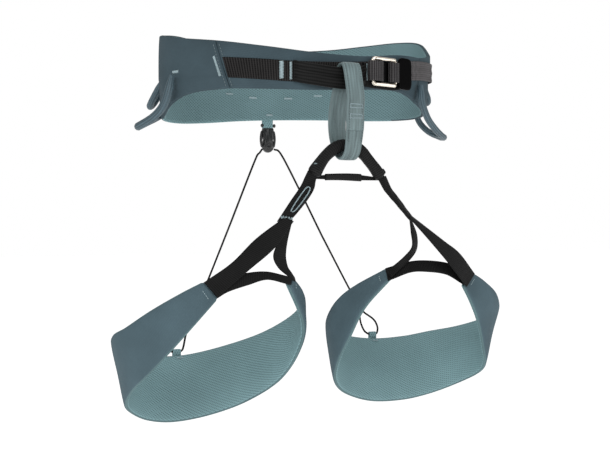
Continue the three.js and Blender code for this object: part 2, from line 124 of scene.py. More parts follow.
LEG_PADS = {
    "right": (
        [
            [-146, -98, -220], [-168, -94, -231], [-194, -84, -247], [-214, -66, -264],
            [-220, -40, -274], [-209, -4, -288], [-180, 32, -303], [-143, 55, -310], [-109, 61, -310],
            [-69, 53, -301], [-35, 29, -286], [-17, -8, -266], [-16, -42, -248], [-29, -66, -232],
            [-49, -86, -216],
        ],
        [
            [-134, -104, -235], [-159, -106, -260], [-182, -102, -285], [-200, -90, -307],
            [-208, -66, -324], [-206, -34, -342], [-195, -12, -355], [-174, -2, -366], [-143, 5, -371],
            [-101, 9, -367], [-62, 2, -354], [-32, -16, -331], [-20, -38, -300], [-24, -62, -268],
            [-53, -90, -225],
        ],
        -1,
    ),
    "left": (
        [
            [166, -84, -217], [187, -76, -227], [212, -62, -242], [232, -38, -261], [239, -12, -273],
            [233, 10, -281], [215, 30, -289], [190, 47, -295], [162, 59, -301], [124, 64, -303],
            [82, 54, -297], [44, 22, -284], [21, -20, -267], [21, -44, -246], [33, -64, -229],
            [60, -86, -210],
        ],
        [
            [147, -98, -230], [157, -98, -248], [170, -92, -270], [184, -80, -297], [201, -58, -319],
            [209, -34, -334], [200, -8, -348], [167, 5, -361], [131, 9, -367], [88, 6, -365],
            [47, -10, -351], [24, -32, -332], [16, -56, -309], [20, -74, -283], [32, -86, -251],
            [57, -95, -221],
        ],
        1,
    ),
}
RISERS = {
    "right": (
        [
            [-38, -119, -122], [-41, -118.5, -130], [-48, -117, -141], [-58, -115, -154],
            [-62.5, -114, -160],
        ],
        [
            [-49, -119, -118], [-54, -118.5, -128], [-63, -117, -141], [-71, -115, -153.5],
            [-73.5, -114, -157.5],
        ],
    ),
    "left": (
        [
            [42, -118, -118], [49, -113.5, -128], [60, -112, -140], [70.5, -110.5, -152],
            [75, -110, -156.5],
        ],
        [
            [32, -121, -121], [38, -122.5, -130.5], [49, -122.5, -141.5], [61, -121.5, -153],
            [66.5, -120.5, -158],
        ],
    ),
}
LEG_STRAPS = {
    "outer_strap_right": (
        [[-63, -116.5, -165.5], [-80, -115, -188], [-106, -112, -209.5], [-134, -107, -233.5]],
        [[-73.5, -116.5, -160], [-99, -114.5, -178.5], [-122, -111, -201], [-146, -102, -219]],
    ),
    "inner_strap_right": (
        [
            [-60, -111, -164.5], [-62, -106, -181], [-61.5, -101, -195], [-57, -95, -206],
            [-50, -88, -213],
        ],
        [
            [-69, -112, -165.5], [-74.5, -107, -185], [-75.5, -102, -197], [-68, -98, -208],
            [-55, -95, -217],
        ],
    ),
    "front_band_right": (
        [
            [-144, -99, -219.5], [-122, -104, -215], [-103, -105, -211], [-82, -102, -210.5],
            [-58, -95, -215.5],
        ],
        [
            [-133, -103, -235], [-123, -106, -229], [-103, -107, -223], [-83, -105, -218.5],
            [-59, -96, -223.5],
        ],
    ),
    "outer_strap_left": (
        [[77, -113.5, -158.5], [114, -108, -181], [140, -99, -195], [165, -87.5, -216]],
        [[70, -121.5, -161], [90, -120, -180], [119, -112, -205.5], [145, -102.5, -229]],
    ),
    "inner_strap_left": (
        [[76, -109, -161], [85, -104, -176], [86, -101, -191], [77, -100, -203], [63, -100.5, -214]],
        [[70, -117, -163], [72, -115, -172], [75, -112, -187], [68, -107, -198], [60, -94, -209]],
    ),
    "front_band_left": (
        [[62.5, -89, -208.5], [76, -95, -204], [95, -98, -202], [126, -95.5, -205], [161.5, -84, -215]],
        [
            [60, -98.5, -221], [79, -101.5, -214.5], [96, -103, -214], [122, -101.5, -217.5],
            [145, -97, -228],
        ],
    ),
}
CORDS = {
    "right": [
        [-4, 107, -74.5], [-8, 107, -80], [-14, 106, -89], [-47, 98, -162], [-78, 89, -228],
        [-93, 83.5, -258],
    ],
    "left": [
        [11, 107, -74.5], [20, 107, -80], [41, 104, -119], [70, 98, -178], [101, 90, -239],
        [114, 85, -264],
    ],
}
CORD_SPLIT = 3
CORD_LOOPS = {
    "right": [
        [-97.5, 81, -267], [-103, 78, -275], [-109, 74, -287], [-113.5, 69, -300],
        [-116.5, 66.4, -304.5], [-122, 66, -305.4], [-127, 66, -305.4], [-130, 67, -304.4],
    ],
    "left": [
        [114, 84, -272], [113.5, 80, -283], [115, 74.5, -292], [117.5, 70, -295.6], [121, 69, -296.4],
        [128, 69, -296.4], [132, 72, -294], [134, 76, -288], [131, 80, -280], [120.5, 83, -272],
    ],
}
LEG_TABS = {
    "right": (-122.5, 66, -307),
    "left": (123.5, 69, -298),
}
CLIP_X, CLIP_Y = 3.5, 108.3


# ---- Colour and material tools ----------------------------------------------------------------

def linear(code):
    """An sRGB hex colour as linear red, green, blue."""
    values = [int(code[k : k + 2], 16) / 255 for k in (0, 2, 4)]
    return tuple(v / 12.92 if v <= 0.04045 else ((v + 0.055) / 1.055) ** 2.4 for v in values)


def add(tree, kind, links=None, **settings):
    """Adds a node. links gives an input's value, or the socket that feeds it."""
    made = tree.nodes.new(kind)
    for key, value in settings.items():
        setattr(made, key, value)
    for key, value in (links or {}).items():
        if isinstance(value, bpy.types.NodeSocket):
            tree.links.new(value, made.inputs[key])
        else:
            made.inputs[key].default_value = value
    return made


def new_material(name, colour, roughness, **sockets):
    """A material with one Principled shader, whose plain sockets are set here."""
    material = bpy.data.materials.new(name)
    material.use_nodes = True
    material.diffuse_color = (*colour, 1)
    shader = material.node_tree.nodes["Principled BSDF"]
    shader.inputs["Base Color"].default_value = (*colour, 1)
    shader.inputs["Roughness"].default_value = roughness
    for key, value in sockets.items():
        shader.inputs[key.replace("_", " ")].default_value = value
    return material, material.node_tree, shader


def maths(tree, operation, *values):
    """Output of a maths node fed with these values or sockets."""
    return add(tree, "ShaderNodeMath", dict(enumerate(values)), operation=operation).outputs[0]


def ranged(tree, value, to, source=(0.0, 1.0)):
    """A value carried from the source range to another and held at its ends."""
    links = {"Value": value, "From Min": source[0], "From Max": source[1], "To Min": to[0], "To Max": to[1]}
    return add(tree, "ShaderNodeMapRange", links).outputs[0]


def wave(tree, value, pitch):
    """0 to 1 sine of a length in millimetres, once per pitch."""
    height = maths(tree, "SINE", maths(tree, "MULTIPLY", value, 2 * math.pi / pitch))
    return maths(tree, "MULTIPLY_ADD", height, 0.5, 0.5)


def cloth_axes(tree):
    """The piece's own cloth map: millimetres along it and across it."""
    own = add(tree, "ShaderNodeUVMap", uv_map="cloth").outputs[0]
    split = add(tree, "ShaderNodeSeparateXYZ", {0: own})
    return split.outputs[0], split.outputs[1]


def object_noise(tree, scale, detail):
    """Noise on Object coordinates."""
    place = add(tree, "ShaderNodeTexCoord").outputs["Object"]
    return add(tree, "ShaderNodeTexNoise", {"Vector": place, "Scale": scale, "Detail": detail}).outputs[0]


def soil(tree, scale, low, high):
    """Slow colour variation from noise, from low to high."""
    return ranged(tree, object_noise(tree, scale, 4.0), (low, high), (0.3, 0.7))


def bump(tree, shader, height, distance):
    """Feeds a height pattern to the shader's normal; distance is in metres."""
    made = add(tree, "ShaderNodeBump", {"Height": height, "Distance": distance, "Strength": 1.0})
    tree.links.new(made.outputs[0], shader.inputs["Normal"])


def dress(tree, shader, colour, pattern, tones, cloudy, distance):
    """Colours and bumps the shader by one pattern: the colour times the pattern's tones, from dark to
    light, times slow variation."""
    shade = maths(tree, "MULTIPLY", ranged(tree, pattern, tones), cloudy)
    tinted = add(tree, "ShaderNodeVectorMath", {0: colour, "Scale": shade}, operation="SCALE").outputs[0]
    tree.links.new(tinted, shader.inputs["Base Color"])
    bump(tree, shader, pattern, distance)


def laminated_cloth(name, colour):
    """Laminated polyester softshell over foam: matt, with a fine plain weave and slow shade changes."""
    material, tree, shader = new_material(name, colour, 0.8, Specular_IOR_Level=0.15)
    along, across = cloth_axes(tree)
    # Real threads are 0.4 mm apart; 1.4 mm is the finest that shows.
    weave = maths(tree, "MULTIPLY", wave(tree, along, 1.4), wave(tree, across, 1.4))
    dress(tree, shader, colour, weave, (0.9, 1.14), soil(tree, 22, 0.86, 1.14), 0.00012)
    return material


def spacer_mesh(name, colour, pitch):
    """Knitted polyester spacer mesh: staggered oval holes, each darker than the knit round it."""
    material, tree, shader = new_material(name, colour, 0.88, Specular_IOR_Level=0.15)
    along, across = cloth_axes(tree)
    slow = maths(tree, "MULTIPLY", along, 0.62)
    rise = maths(tree, "ADD", slow, across)
    fall = maths(tree, "SUBTRACT", slow, across)
    holes = maths(tree, "MULTIPLY", wave(tree, rise, pitch), wave(tree, fall, pitch * 1.12))
    knit = ranged(tree, holes, (0.0, 1.0), (0.75, 0.2))
    dress(tree, shader, colour, knit, (0.62, 1.24), soil(tree, 18, 0.93, 1.07), 0.00022)
    return material


def ribbed_webbing(name, colour, pitch, dark, light, rough=0.6, deep=0.0004):
    """Woven polyester webbing: weft ribs straight across it and a fine warp line along it."""
    material, tree, shader = new_material(name, colour, rough, Specular_IOR_Level=0.1)
    along, across = cloth_axes(tree)
    both = maths(tree, "MULTIPLY_ADD", wave(tree, across, pitch * 0.8), 0.3, wave(tree, along, pitch))
    dress(tree, shader, colour, both, (dark, light), soil(tree, 45, 0.85, 1.15), deep)
    return material


def lengthwise_webbing(name, colour, pitch, dark, light, shine=0.35):
    """Heavy polyamide webbing with a satin face: warp cords run along it, the weft hardly shows."""
    material, tree, shader = new_material(name, colour, 0.5, Specular_IOR_Level=shine)
    along, across = cloth_axes(tree)
    both = maths(tree, "MULTIPLY_ADD", wave(tree, along, 1.7), 0.35, wave(tree, across, pitch))
    # Long lighter and darker streaks along the cloth: the warp's own lines, and on a satin face also painted
    # sheen.
    lines = streaks(tree, along, across)
    streak = add(tree, "ShaderNodeTexNoise", {"Vector": lines, "Scale": 1.0, "Detail": 3.0})
    streaks_and_sheen = ranged(tree, streak.outputs[0], (0.78, 1.25), (0.3, 0.7))
    dress(tree, shader, colour, both, (dark, light), streaks_and_sheen, 0.0002)
    return material


def streaks(tree, along, across):
    """Coordinates that stretch a noise into long lines: slow along the cloth, quick across it."""
    slow = maths(tree, "MULTIPLY", along, 0.035)
    quick = maths(tree, "MULTIPLY", across, 0.45)
    return add(tree, "ShaderNodeCombineXYZ", {0: slow, 1: quick}).outputs[0]


def braided(name, colour, pitch):
    """Braided sleeve: two sets of strands crossing at an angle."""
    material, tree, shader = new_material(name, colour, 0.6, Specular_IOR_Level=0.2)
    along, across = cloth_axes(tree)
    one = wave(tree, maths(tree, "ADD", along, across), pitch)
    two = wave(tree, maths(tree, "SUBTRACT", along, across), pitch)
    strands = maths(tree, "MAXIMUM", one, two)
    dress(tree, shader, colour, strands, (0.85, 1.1), soil(tree, 60, 0.9, 1.1), 0.00008)
    return material


def moulded(name, colour, rough, grain, coat, shine):
    """Injection-moulded plastic with a fine spark-eroded grain."""
    material, tree, shader = new_material(
        name, colour, rough, Coat_Weight=coat, Coat_Roughness=0.15, Specular_IOR_Level=shine
    )
    noise = object_noise(tree, grain, 3.0)
    dress(tree, shader, colour, noise, (0.85, 1.15), soil(tree, 50, 0.9, 1.1), 0.00008)
    return material


def forged_metal(name, colour, rough):
    """Polished forged aluminium: a fine random grain that blurs the reflections a little."""
    material, tree, shader = new_material(name, colour, rough, Metallic=1.0)
    noise = object_noise(tree, 400.0, 2.0)
    tree.links.new(ranged(tree, noise, (rough * 0.7, rough * 1.5)), shader.inputs["Roughness"])
    bump(tree, shader, noise, 0.00002)
    return material


def thread(name, colour):
    """Bonded polyester sewing thread: two twisted plies with a soft sheen."""
    material, tree, shader = new_material(name, colour, 0.55, Specular_IOR_Level=0.25)
    plies = wave(tree, maths(tree, "ADD", *cloth_axes(tree)), 0.9)
    dress(tree, shader, colour, plies, (0.82, 1.12), soil(tree, 80, 0.92, 1.08), 0.0001)
    return material


# ---- Surface tools -----------------------------------------------------------------------------

def spline(points, count, closed=False):
    """Catmull-Rom curve through the points: each span is the cubic that leaves a point along the line
    between its two neighbours. The ends are mirrored, or the curve closes on itself."""
    p = np.asarray(points, float)
    n = len(p)
    if closed:
        u = np.linspace(0, n, count, endpoint=False)
        k = np.floor(u).astype(int)
        a, b, c, d = (p[(k + j) % n] for j in (-1, 0, 1, 2))
    else:
        ends = np.vstack([2 * p[0] - p[1], p, 2 * p[-1] - p[-2]])
        u = np.linspace(0, n - 1, count)
        k = np.minimum(u.astype(int), n - 2)
        a, b, c, d = (ends[k + j] for j in range(4))
    t = (u - k)[:, None]
    return 0.5 * (2 * b + (c - a) * t + (2 * a - 5 * b + 4 * c - d) * t**2 + (3 * b - a - 3 * c + d) * t**3)


def power(v, p):
    """A value raised to a power with its sign kept: small powers square off a sine or cosine."""
    return np.sign(v) * np.abs(v) ** p


def pick(rows, at, run):
    """Points of a row read off at distances along it, by straight lines between them."""
    return np.stack([np.interp(at, run, rows[:, k]) for k in range(3)], -1)


def unit(v):
    """Vectors scaled to length one."""
    return v / np.maximum(np.linalg.norm(v, axis=-1, keepdims=True), 1e-9)


def lengths(p, closed=False):
    """Distance run along a row of points, starting at zero."""
    step = np.linalg.norm(np.diff(np.concatenate([p, p[:1]]) if closed else p, axis=0), axis=1)
    return np.concatenate([[0], np.cumsum(step)])


def travel(p, closed=False):
    """Unit direction of travel at each point of a row."""
    if closed:
        return unit(np.roll(p, -1, 0) - np.roll(p, 1, 0))
    return unit(np.gradient(p, axis=0))


def stretched(p, before=0.0, after=0.0):
    """The row of points carried straight on past its ends by two distances."""
    t = travel(p)
    parts = [p]
    if before:
        parts.insert(0, p[:1] - t[:1] * np.linspace(before, before / 4, 4)[:, None])
    if after:
        parts.append(p[-1:] + t[-1:] * np.linspace(after / 4, after, 4)[:, None])
    return np.vstack(parts)


def even(points, closed=False, spacing=None, count=None):
    """The same curve with its points an equal distance apart."""
    run = lengths(points, closed)
    ring = np.vstack([points, points[:1]]) if closed else points
    count = count or max(4, int(round(run[-1] / spacing)) + 1)
    at = np.linspace(0, run[-1], count, endpoint=not closed)
    return np.stack([np.interp(at, run, ring[:, k]) for k in range(3)], -1)


def surface(name, rings, material, closed=False, along=None):
    """A closed body from rings of points, grid[i, j] with j running round: neighbours make quads, the
    open ends are closed by one face each, and the cloth map holds millimetres along and round."""
    n, m = rings.shape[:2]
    centre = rings.reshape(-1, 3).mean(0)
    g = rings - centre
    nxt = np.roll(g, -1, 0) if closed else g[1:]
    here = g if closed else g[:-1]
    side = np.roll(here, -1, 1)
    volume = np.einsum("ijk,ijk->", here, np.cross(side, np.roll(nxt, -1, 1)))
    volume += np.einsum("ijk,ijk->", here, np.cross(np.roll(nxt, -1, 1), nxt))
    if not closed:
        first, final = (np.broadcast_to(end.mean(0), end.shape) for end in (g[0], g[-1]))
        volume += np.einsum("jk,jk->", np.roll(g[0], -1, 0), np.cross(g[0], first))
        volume += np.einsum("jk,jk->", g[-1], np.cross(np.roll(g[-1], -1, 0), final))
    if volume < 0:
        rings = rings[:, ::-1]
    i = np.arange(n if closed else n - 1)[:, None]
    j = np.arange(m)[None, :]
    corners = [(i, j), (i, j + 1), (i + 1, j + 1), (i + 1, j)]
    quads = np.stack([(a % n) * m + b % m + 0 * (i + j) for a, b in corners], -1).reshape(-1, 4)
    run = lengths(rings.mean(1), closed) if along is None else along
    round_ = lengths(rings[n // 2], True)
    last = len(run) - 1
    pairs = [np.broadcast_arrays(run[np.minimum(a, last)], round_[b]) for a, b in corners]
    uv = np.stack([np.stack(pair, -1) for pair in pairs], 2).reshape(-1, 2)
    loops, starts, totals = quads.ravel(), np.arange(len(quads)) * 4, np.full(len(quads), 4)
    if not closed:
        ends = np.concatenate([np.arange(m)[::-1], (n - 1) * m + np.arange(m)])
        starts = np.concatenate([starts, [len(loops), len(loops) + m]])
        totals = np.concatenate([totals, [m, m]])
        tip = np.concatenate([np.zeros(m), np.full(m, run[-1])])
        uv = np.vstack([uv, np.stack([tip, np.concatenate([round_[:m][::-1], round_[:m]])], -1)])
        loops = np.concatenate([loops, ends])
    return to_object(name, rings.reshape(-1, 3), loops, starts, totals, uv, material)


def to_object(name, points, loops, starts, totals, uv, material, smooth=True):
    """Puts whole arrays of points, face corners and cloth map into a new mesh object, in metres."""
    mesh = bpy.data.meshes.new(name)
    mesh.vertices.add(len(points))
    mesh.vertices.foreach_set("co", (np.asarray(points) * MM).astype(np.float32).ravel())
    mesh.loops.add(len(loops))
    mesh.loops.foreach_set("vertex_index", np.asarray(loops, np.int32))
    mesh.polygons.add(len(starts))
    mesh.polygons.foreach_set("loop_start", np.asarray(starts, np.int32))
    mesh.polygons.foreach_set("loop_total", np.asarray(totals, np.int32))
    mesh.polygons.foreach_set("use_smooth", np.full(len(starts), smooth))
    layer = mesh.uv_layers.new(name="cloth")
    layer.data.foreach_set("uv", np.asarray(uv, np.float32).ravel())
    mesh.materials.append(material)
    mesh.update(calc_edges=True)
    mesh.validate()
    made = bpy.data.objects.new(name, mesh)
    bpy.context.scene.collection.objects.link(made)
    return made


CORNER_SHARE = 0.45
EDGE_POINTS = 4
BELT_COLUMNS = 26


def section(columns):
    """Outline of a flat section of half width 1 and half height 1: columns of points over its outer
    face, a half round edge, the inner face and the other edge. Gives the place across the flat part
    from -1 to 1, the place over the round edge from -1 to 1, and the height."""
    flat = 1.0 - CORNER_SHARE
    face = np.linspace(-flat, flat, columns)
    turn = np.linspace(0, np.pi, EDGE_POINTS + 2)[1:-1]
    edge = CORNER_SHARE * np.sin(turn)
    s = np.concatenate([face, flat + edge, face[::-1], -flat - edge])
    h = np.concatenate([np.ones(columns), np.cos(turn), -np.ones(columns), -np.cos(turn)])
    over = np.sign(s) * np.clip((np.abs(s) - flat) / CORNER_SHARE, 0, 1)
    return np.clip(s / flat, -1, 1), over, h


def band(
    name, top, bottom, inner, outer, material, closed=False, flip=1, crown=0.0, relief=None, columns=12,
):
    """A flat strap between two edges. Across it the surface is the straight line from edge to edge, plus
    the section's height along the normal, plus crown times (1 - s squared) on each face, plus relief."""
    middle = (top + bottom) / 2
    across = top - bottom
    half = np.linalg.norm(across, axis=1) / 2
    normal = flip * unit(np.cross(travel(middle, closed), across))
    width = half[:, None]
    r = (outer - inner) / 2
    edge = np.minimum(r / width, CORNER_SHARE)
    face, over, unit_h = section(columns)
    place = face[None] * (1 - edge) + over[None] * edge
    height = (outer + inner) / 2 + unit_h[None] * r
    bulge = crown * (1 - place**2) * np.sign(np.round(unit_h, 6))[None]
    if relief is not None:
        bulge = bulge + relief(lengths(middle, closed)[: len(middle)][:, None], place)
    rings = (
        middle[:, None]
        + unit(across)[:, None] * (place * width)[..., None]
        + normal[:, None] * (height + bulge)[..., None]
    )
    return surface(name, rings, material, closed, along=lengths(middle, closed))


def tube(
    name, centre, radius, material, sides=14, closed=False, start=(0, 0, 1), ribs=0.0, rib_pitch=2.0,
    cap=0.0, flutes=(0, 0.0),
):
    """A round section carried along a line without twist. The radius may change along it; ribs adds a
    sine of the distance run, flutes a cosine of the angle round it (how many, how deep), and cap rounds
    the ends like an ellipse over that length."""
    t = travel(centre, closed)
    run = lengths(centre, closed)
    side = np.empty_like(centre)
    side[0] = unit(np.cross(np.asarray(start, float), t[0]) + 1e-6)
    for k in range(1, len(centre)):
        side[k] = unit(side[k - 1] - t[k] * np.dot(side[k - 1], t[k]))
    up = np.cross(t, side)
    r = np.broadcast_to(np.asarray(radius, float), (len(centre),)).copy()
    here = run[: len(centre)]
    if ribs:
        r = r + ribs * np.sin(2 * np.pi * here / rib_pitch)
    if cap:
        near = np.clip(np.minimum(here, run[-1] - here) / cap, 0.02, 1)
        r = r * np.sqrt(1 - (1 - near) ** 2)
    a = np.linspace(0, 2 * np.pi, sides, endpoint=False)
    wide = (1 + flutes[1] * np.cos(flutes[0] * a))[None, :, None]
    rings = centre[:, None] + r[:, None, None] * wide * (
        side[:, None] * np.cos(a)[None, :, None] + up[:, None] * np.sin(a)[None, :, None]
    )
    return surface(name, rings, material, closed, along=run)


def threads(name, starts, ends, normals, radius, material, lift=0.35):
    """Many short threads as one mesh: each runs straight from start to end, rises off the cloth by
    lift times the sine of the distance run, and thins toward both ends where it dives in."""
    u = np.linspace(0, 1, 6)
    a = np.linspace(0, 2 * np.pi, 6, endpoint=False)
    line = unit(ends - starts)
    side = unit(np.cross(line, normals))
    up = np.cross(side, line)
    size = radius * np.array([0.45, 0.9, 1.0, 1.0, 0.9, 0.45])
    centre = starts[:, None] + (ends - starts)[:, None] * u[None, :, None]
    centre = centre + up[:, None] * (lift * np.sin(np.pi * u) - radius * 0.35)[None, :, None]
    circle = side[:, None, None] * np.cos(a)[:, None] + up[:, None, None] * np.sin(a)[:, None]
    rings = centre[:, :, None] + size[:, None, None] * circle
    count, n, m = rings.shape[:3]
    i, j = np.arange(n - 1)[:, None], np.arange(m)[None, :]
    corners = [(i, j), (i + 1, j), (i + 1, j + 1), (i, j + 1)]
    one = np.stack([a_ * m + b % m for a_, b in corners], -1).reshape(-1, 4)
    base = (np.arange(count) * n * m)[:, None, None]
    quads = (one[None] + base).reshape(-1, 4)
    caps = np.stack([np.arange(m), (n - 1) * m + np.arange(m)[::-1]])
    caps = (caps[None] + base).reshape(-1, m)
    span = np.linalg.norm(ends - starts, axis=1)
    uv_one = np.stack([np.stack(np.broadcast_arrays(a_ / (n - 1), b * 0.6), -1) for a_, b in corners], 2)
    uv = np.broadcast_to(uv_one.reshape(1, -1, 2), (count, uv_one.size // 2, 2)).copy()
    uv[..., 0] *= span[:, None]
    loops = np.concatenate([quads.ravel(), caps.ravel()])
    starts_at = np.concatenate([np.arange(len(quads)) * 4, len(quads) * 4 + np.arange(len(caps)) * m])
    totals = np.concatenate([np.full(len(quads), 4), np.full(len(caps), m)])
    uv = np.vstack([uv.reshape(-1, 2), np.zeros((caps.size, 2))])
    return to_object(name, rings.reshape(-1, 3), loops, starts_at, totals, uv, material)


class Sewing:
    """Collects threads from many seams, so that they become one piece for each body and colour."""

    def __init__(self):
        self.rows = {}

    def lines(self, key, starts, ends, normals):
        """Adds threads to a piece."""
        self.rows.setdefault(key, []).append((starts, ends, np.broadcast_to(normals, starts.shape)))

    def row(self, key, line, normals, pitch=3.2, stitch=2.3):
        """A running seam along a line: one stitch every pitch."""
        run = lengths(line)
        at = np.arange(0.3, run[-1] - stitch, pitch)
        normals = unit(pick(np.broadcast_to(normals, line.shape), at + stitch / 2, run))
        self.lines(key, pick(line, at, run), pick(line, at + stitch, run), normals)

    def bartack(self, key, centre, along, normal, length, width, pitch=0.75):
        """A dense zigzag bar: threads across it, one every pitch along it, leaning alternate ways."""
        normal = unit(np.asarray(normal, float))
        along = unit(np.asarray(along, float) - normal * np.dot(along, normal))
        across = np.cross(normal, along)
        at = np.arange(-length / 2, length / 2 + 1e-6, pitch)
        lean = 0.35 * pitch * np.where(np.arange(len(at)) % 2, 1, -1)
        line = np.asarray(centre, float) + along * at[:, None]
        start = line - across * width / 2 - along * lean[:, None]
        end = line + across * width / 2 + along * lean[:, None]
        self.lines(key, start, end, np.broadcast_to(normal, start.shape))

    def make(self, key, name, radius, material):
        """All the threads under a key as one object."""
        starts, ends, normals = (np.concatenate(part) for part in zip(*self.rows[key]))
        return threads(name, starts, ends, normals, radius, material)


# ---- The waist form ----------------------------------------------------------------------------

def rim(table, degrees):
    """Rim height at angles: the closed Catmull-Rom curve through the table."""
    t = np.asarray(table, float)
    n = len(t)
    u = ((np.asarray(degrees, float) - RIM_START) / RIM_STEP) % n
    k = np.floor(u).astype(int)
    f = u - k
    a, b, c, d = (t[(k + j) % n] for j in (-1, 0, 1, 2))
    return 0.5 * (2 * b + (c - a) * f + (2 * a - 5 * b + 4 * c - d) * f**2 + (3 * b - a - 3 * c + d) * f**3)


def on_waist(degrees, out, z):
    """A point on the waist ellipse at an angle, a distance outside it and a height."""
    a = np.radians(degrees)
    x = WAIST_SHIFT + (WAIST_X + out) * np.cos(a)
    y = (WAIST_Y + out) * np.sin(a)
    return np.stack(np.broadcast_arrays(x, y, z), -1)


def outward(degrees):
    """Level direction straight out of the waist ellipse."""
    a = np.radians(degrees)
    return unit(np.stack([WAIST_Y * np.cos(a), WAIST_X * np.sin(a), 0 * a], -1))


def tangent(degrees):
    """Level direction round the waist, toward larger angles."""
    o = outward(degrees)
    return np.stack([-o[..., 1], o[..., 0], o[..., 2]], -1)


def step_up(x, low, high):
    """0 below low, 1 above high, smooth between."""
    t = np.clip((x - low) / (high - low), 0, 1)
    return t * t * (3 - 2 * t)


def belt_relief(degrees, z):
    """How far the belt stands off its ellipse: soft folds where the foam creases over the hips."""
    d = ((np.asarray(degrees, float) + 180) % 360) - 180
    side = step_up(-d, 134, 142) + step_up(d, 160, 175)
    below = np.clip(FOLD_Z - z, 0, 16)
    hip_fold = -0.24 * below * side - 0.9 * side * np.exp(-(((z - FOLD_Z) / 2.0) ** 2))
    waves = 0.55 * np.sin(np.radians(d) * 9 + z * 0.05) * np.sin(np.radians(d) * 4.0 + 1.3)
    left = step_up(d, -60, -40) * (1 - step_up(d, 20, 40))
    crease = 0.9 * left * np.sin(z * 0.16 + np.radians(d) * 3.0)
    return hip_fold + 0.6 * waves + 0.5 * crease


def belt_form(name, ends, inner, outer, material, inset=0.0, crown=0.0, closed=False, lean=(0, 0)):
    """A wall of the belt between its rims and between two angles: the ellipse at each angle and height,
    plus the section's height off it, plus crown, plus the folds. lean slants an end by that many degrees
    from its bottom to its top."""
    n = int(abs(ends[1] - ends[0]) / 1.5)
    u = np.linspace(0, 1, n, endpoint=not closed)[:, None]
    face, over, unit_h = section(BELT_COLUMNS)
    r = (outer - inner) / 2
    edge = min(r / 30.0, 0.3)
    s = (face * (1 - edge) + over * edge)[None]
    start = ends[0] + lean[0] * s / 2
    stop = ends[1] + lean[1] * s / 2
    d = start + (stop - start) * u
    top, bottom = rim(RIM_TOP, d) - inset, rim(RIM_BOTTOM, d) + inset
    z = bottom + (top - bottom) * (s + 1) / 2
    cosine = np.maximum(0, np.cos(np.radians(d)))
    drawn_in = -HIP_TAPER * cosine**2 * (1 - s) / 2
    height = (outer + inner) / 2 + unit_h[None] * r + crown * (1 - s**4) * np.maximum(unit_h, 0)[None]
    out = drawn_in + belt_relief(d, z)
    rings = on_waist(d, out, z) + outward(d) * height[..., None]
    return surface(name, rings, material, closed)


def belt_point(degrees, z, height):
    """A point a height off the belt's folded face."""
    return on_waist(degrees, belt_relief(degrees, z), z) + outward(degrees) * height


def waist_edges(stations, width, count, lean=0.0):
    """Top and bottom edge of webbing round the waist, from its stations of angle, height and stand-off.
    lean slants its first end."""
    line = spline(stations, count)
    fade = np.linspace(1, 0, count) ** 6
    edges = []
    for sign in (1, -1):
        d = line[:, 0] - sign * lean * fade
        edges.append(on_waist(d, line[:, 2], line[:, 1] + sign * width / 2))
    return edges


# ---- Finishes and sizes ------------------------------------------------------------------------

def colour_property(name, code, description):
    """A colour that the panel shows."""
    return bpy.props.FloatVectorProperty(
        name=name, description=description, subtype="COLOR", size=3, min=0, max=1, default=linear(code)
    )


def length_property(name, default, description):
    """A length in metres that the panel shows."""
    return bpy.props.FloatProperty(name=name, description=description, default=default, unit="LENGTH")


class HarnessColours(bpy.types.PropertyGroup):
    """Colours of the harness's cloths, threads and fittings."""

    shell: colour_property("Shell cloth", "4c5f67", "Outer cloth of the leg pads")
    belt: colour_property("Belt cloth", "3d4c53", "Outer cloth of the belt")
    lining: colour_property("Lining mesh", "6a8589", "Spacer mesh inside the belt and leg pads")
    webbing: colour_property("Waist webbing", "151414", "Ribbed webbing round the waist")
    tail: colour_property("Webbing tail", "4b494a", "Free end of the waist webbing")
    black: colour_property("Black webbing", "151515", "Webbing of the tie-in loop, bridge and risers")
    belay: colour_property("Belay loop", "6e8082", "Heavy webbing of the belay loop")
    bartack: colour_property("Sewing thread", "9db0b5", "Thread of the bartacks and seams")
    gear: colour_property("Gear loops", "3e4f57", "Moulded sleeves of the gear loops")
    plastic: colour_property("Clip plastic", "151516", "Rear clip and buckle cover")
    metal: colour_property("Buckle metal", "efe6d8", "Polished buckle frame")
    cord: colour_property("Elastic cord", "101010", "Cords of the rear suspension")


class HarnessSizes(bpy.types.PropertyGroup):
    """Sizes of the harness's cloth details."""

    cord_diameter: length_property("Cord diameter", 0.0023, "Diameter of the elastic rear cords")
    mesh_pitch: length_property("Mesh pitch", 0.0028, "Distance between the lining mesh's holes")
    rib_pitch: length_property("Webbing rib pitch", 0.0025, "Distance between the waist webbing's ribs")
    thread_radius: length_property("Thread radius", 0.00042, "Radius of the bartack thread")
    belt_crown: length_property("Belt crown", 0.0009, "How far the belt's foam swells at its middle")
    pad_crown: length_property("Leg pad crown", 0.0014, "How far a leg pad's foam swells at its middle")


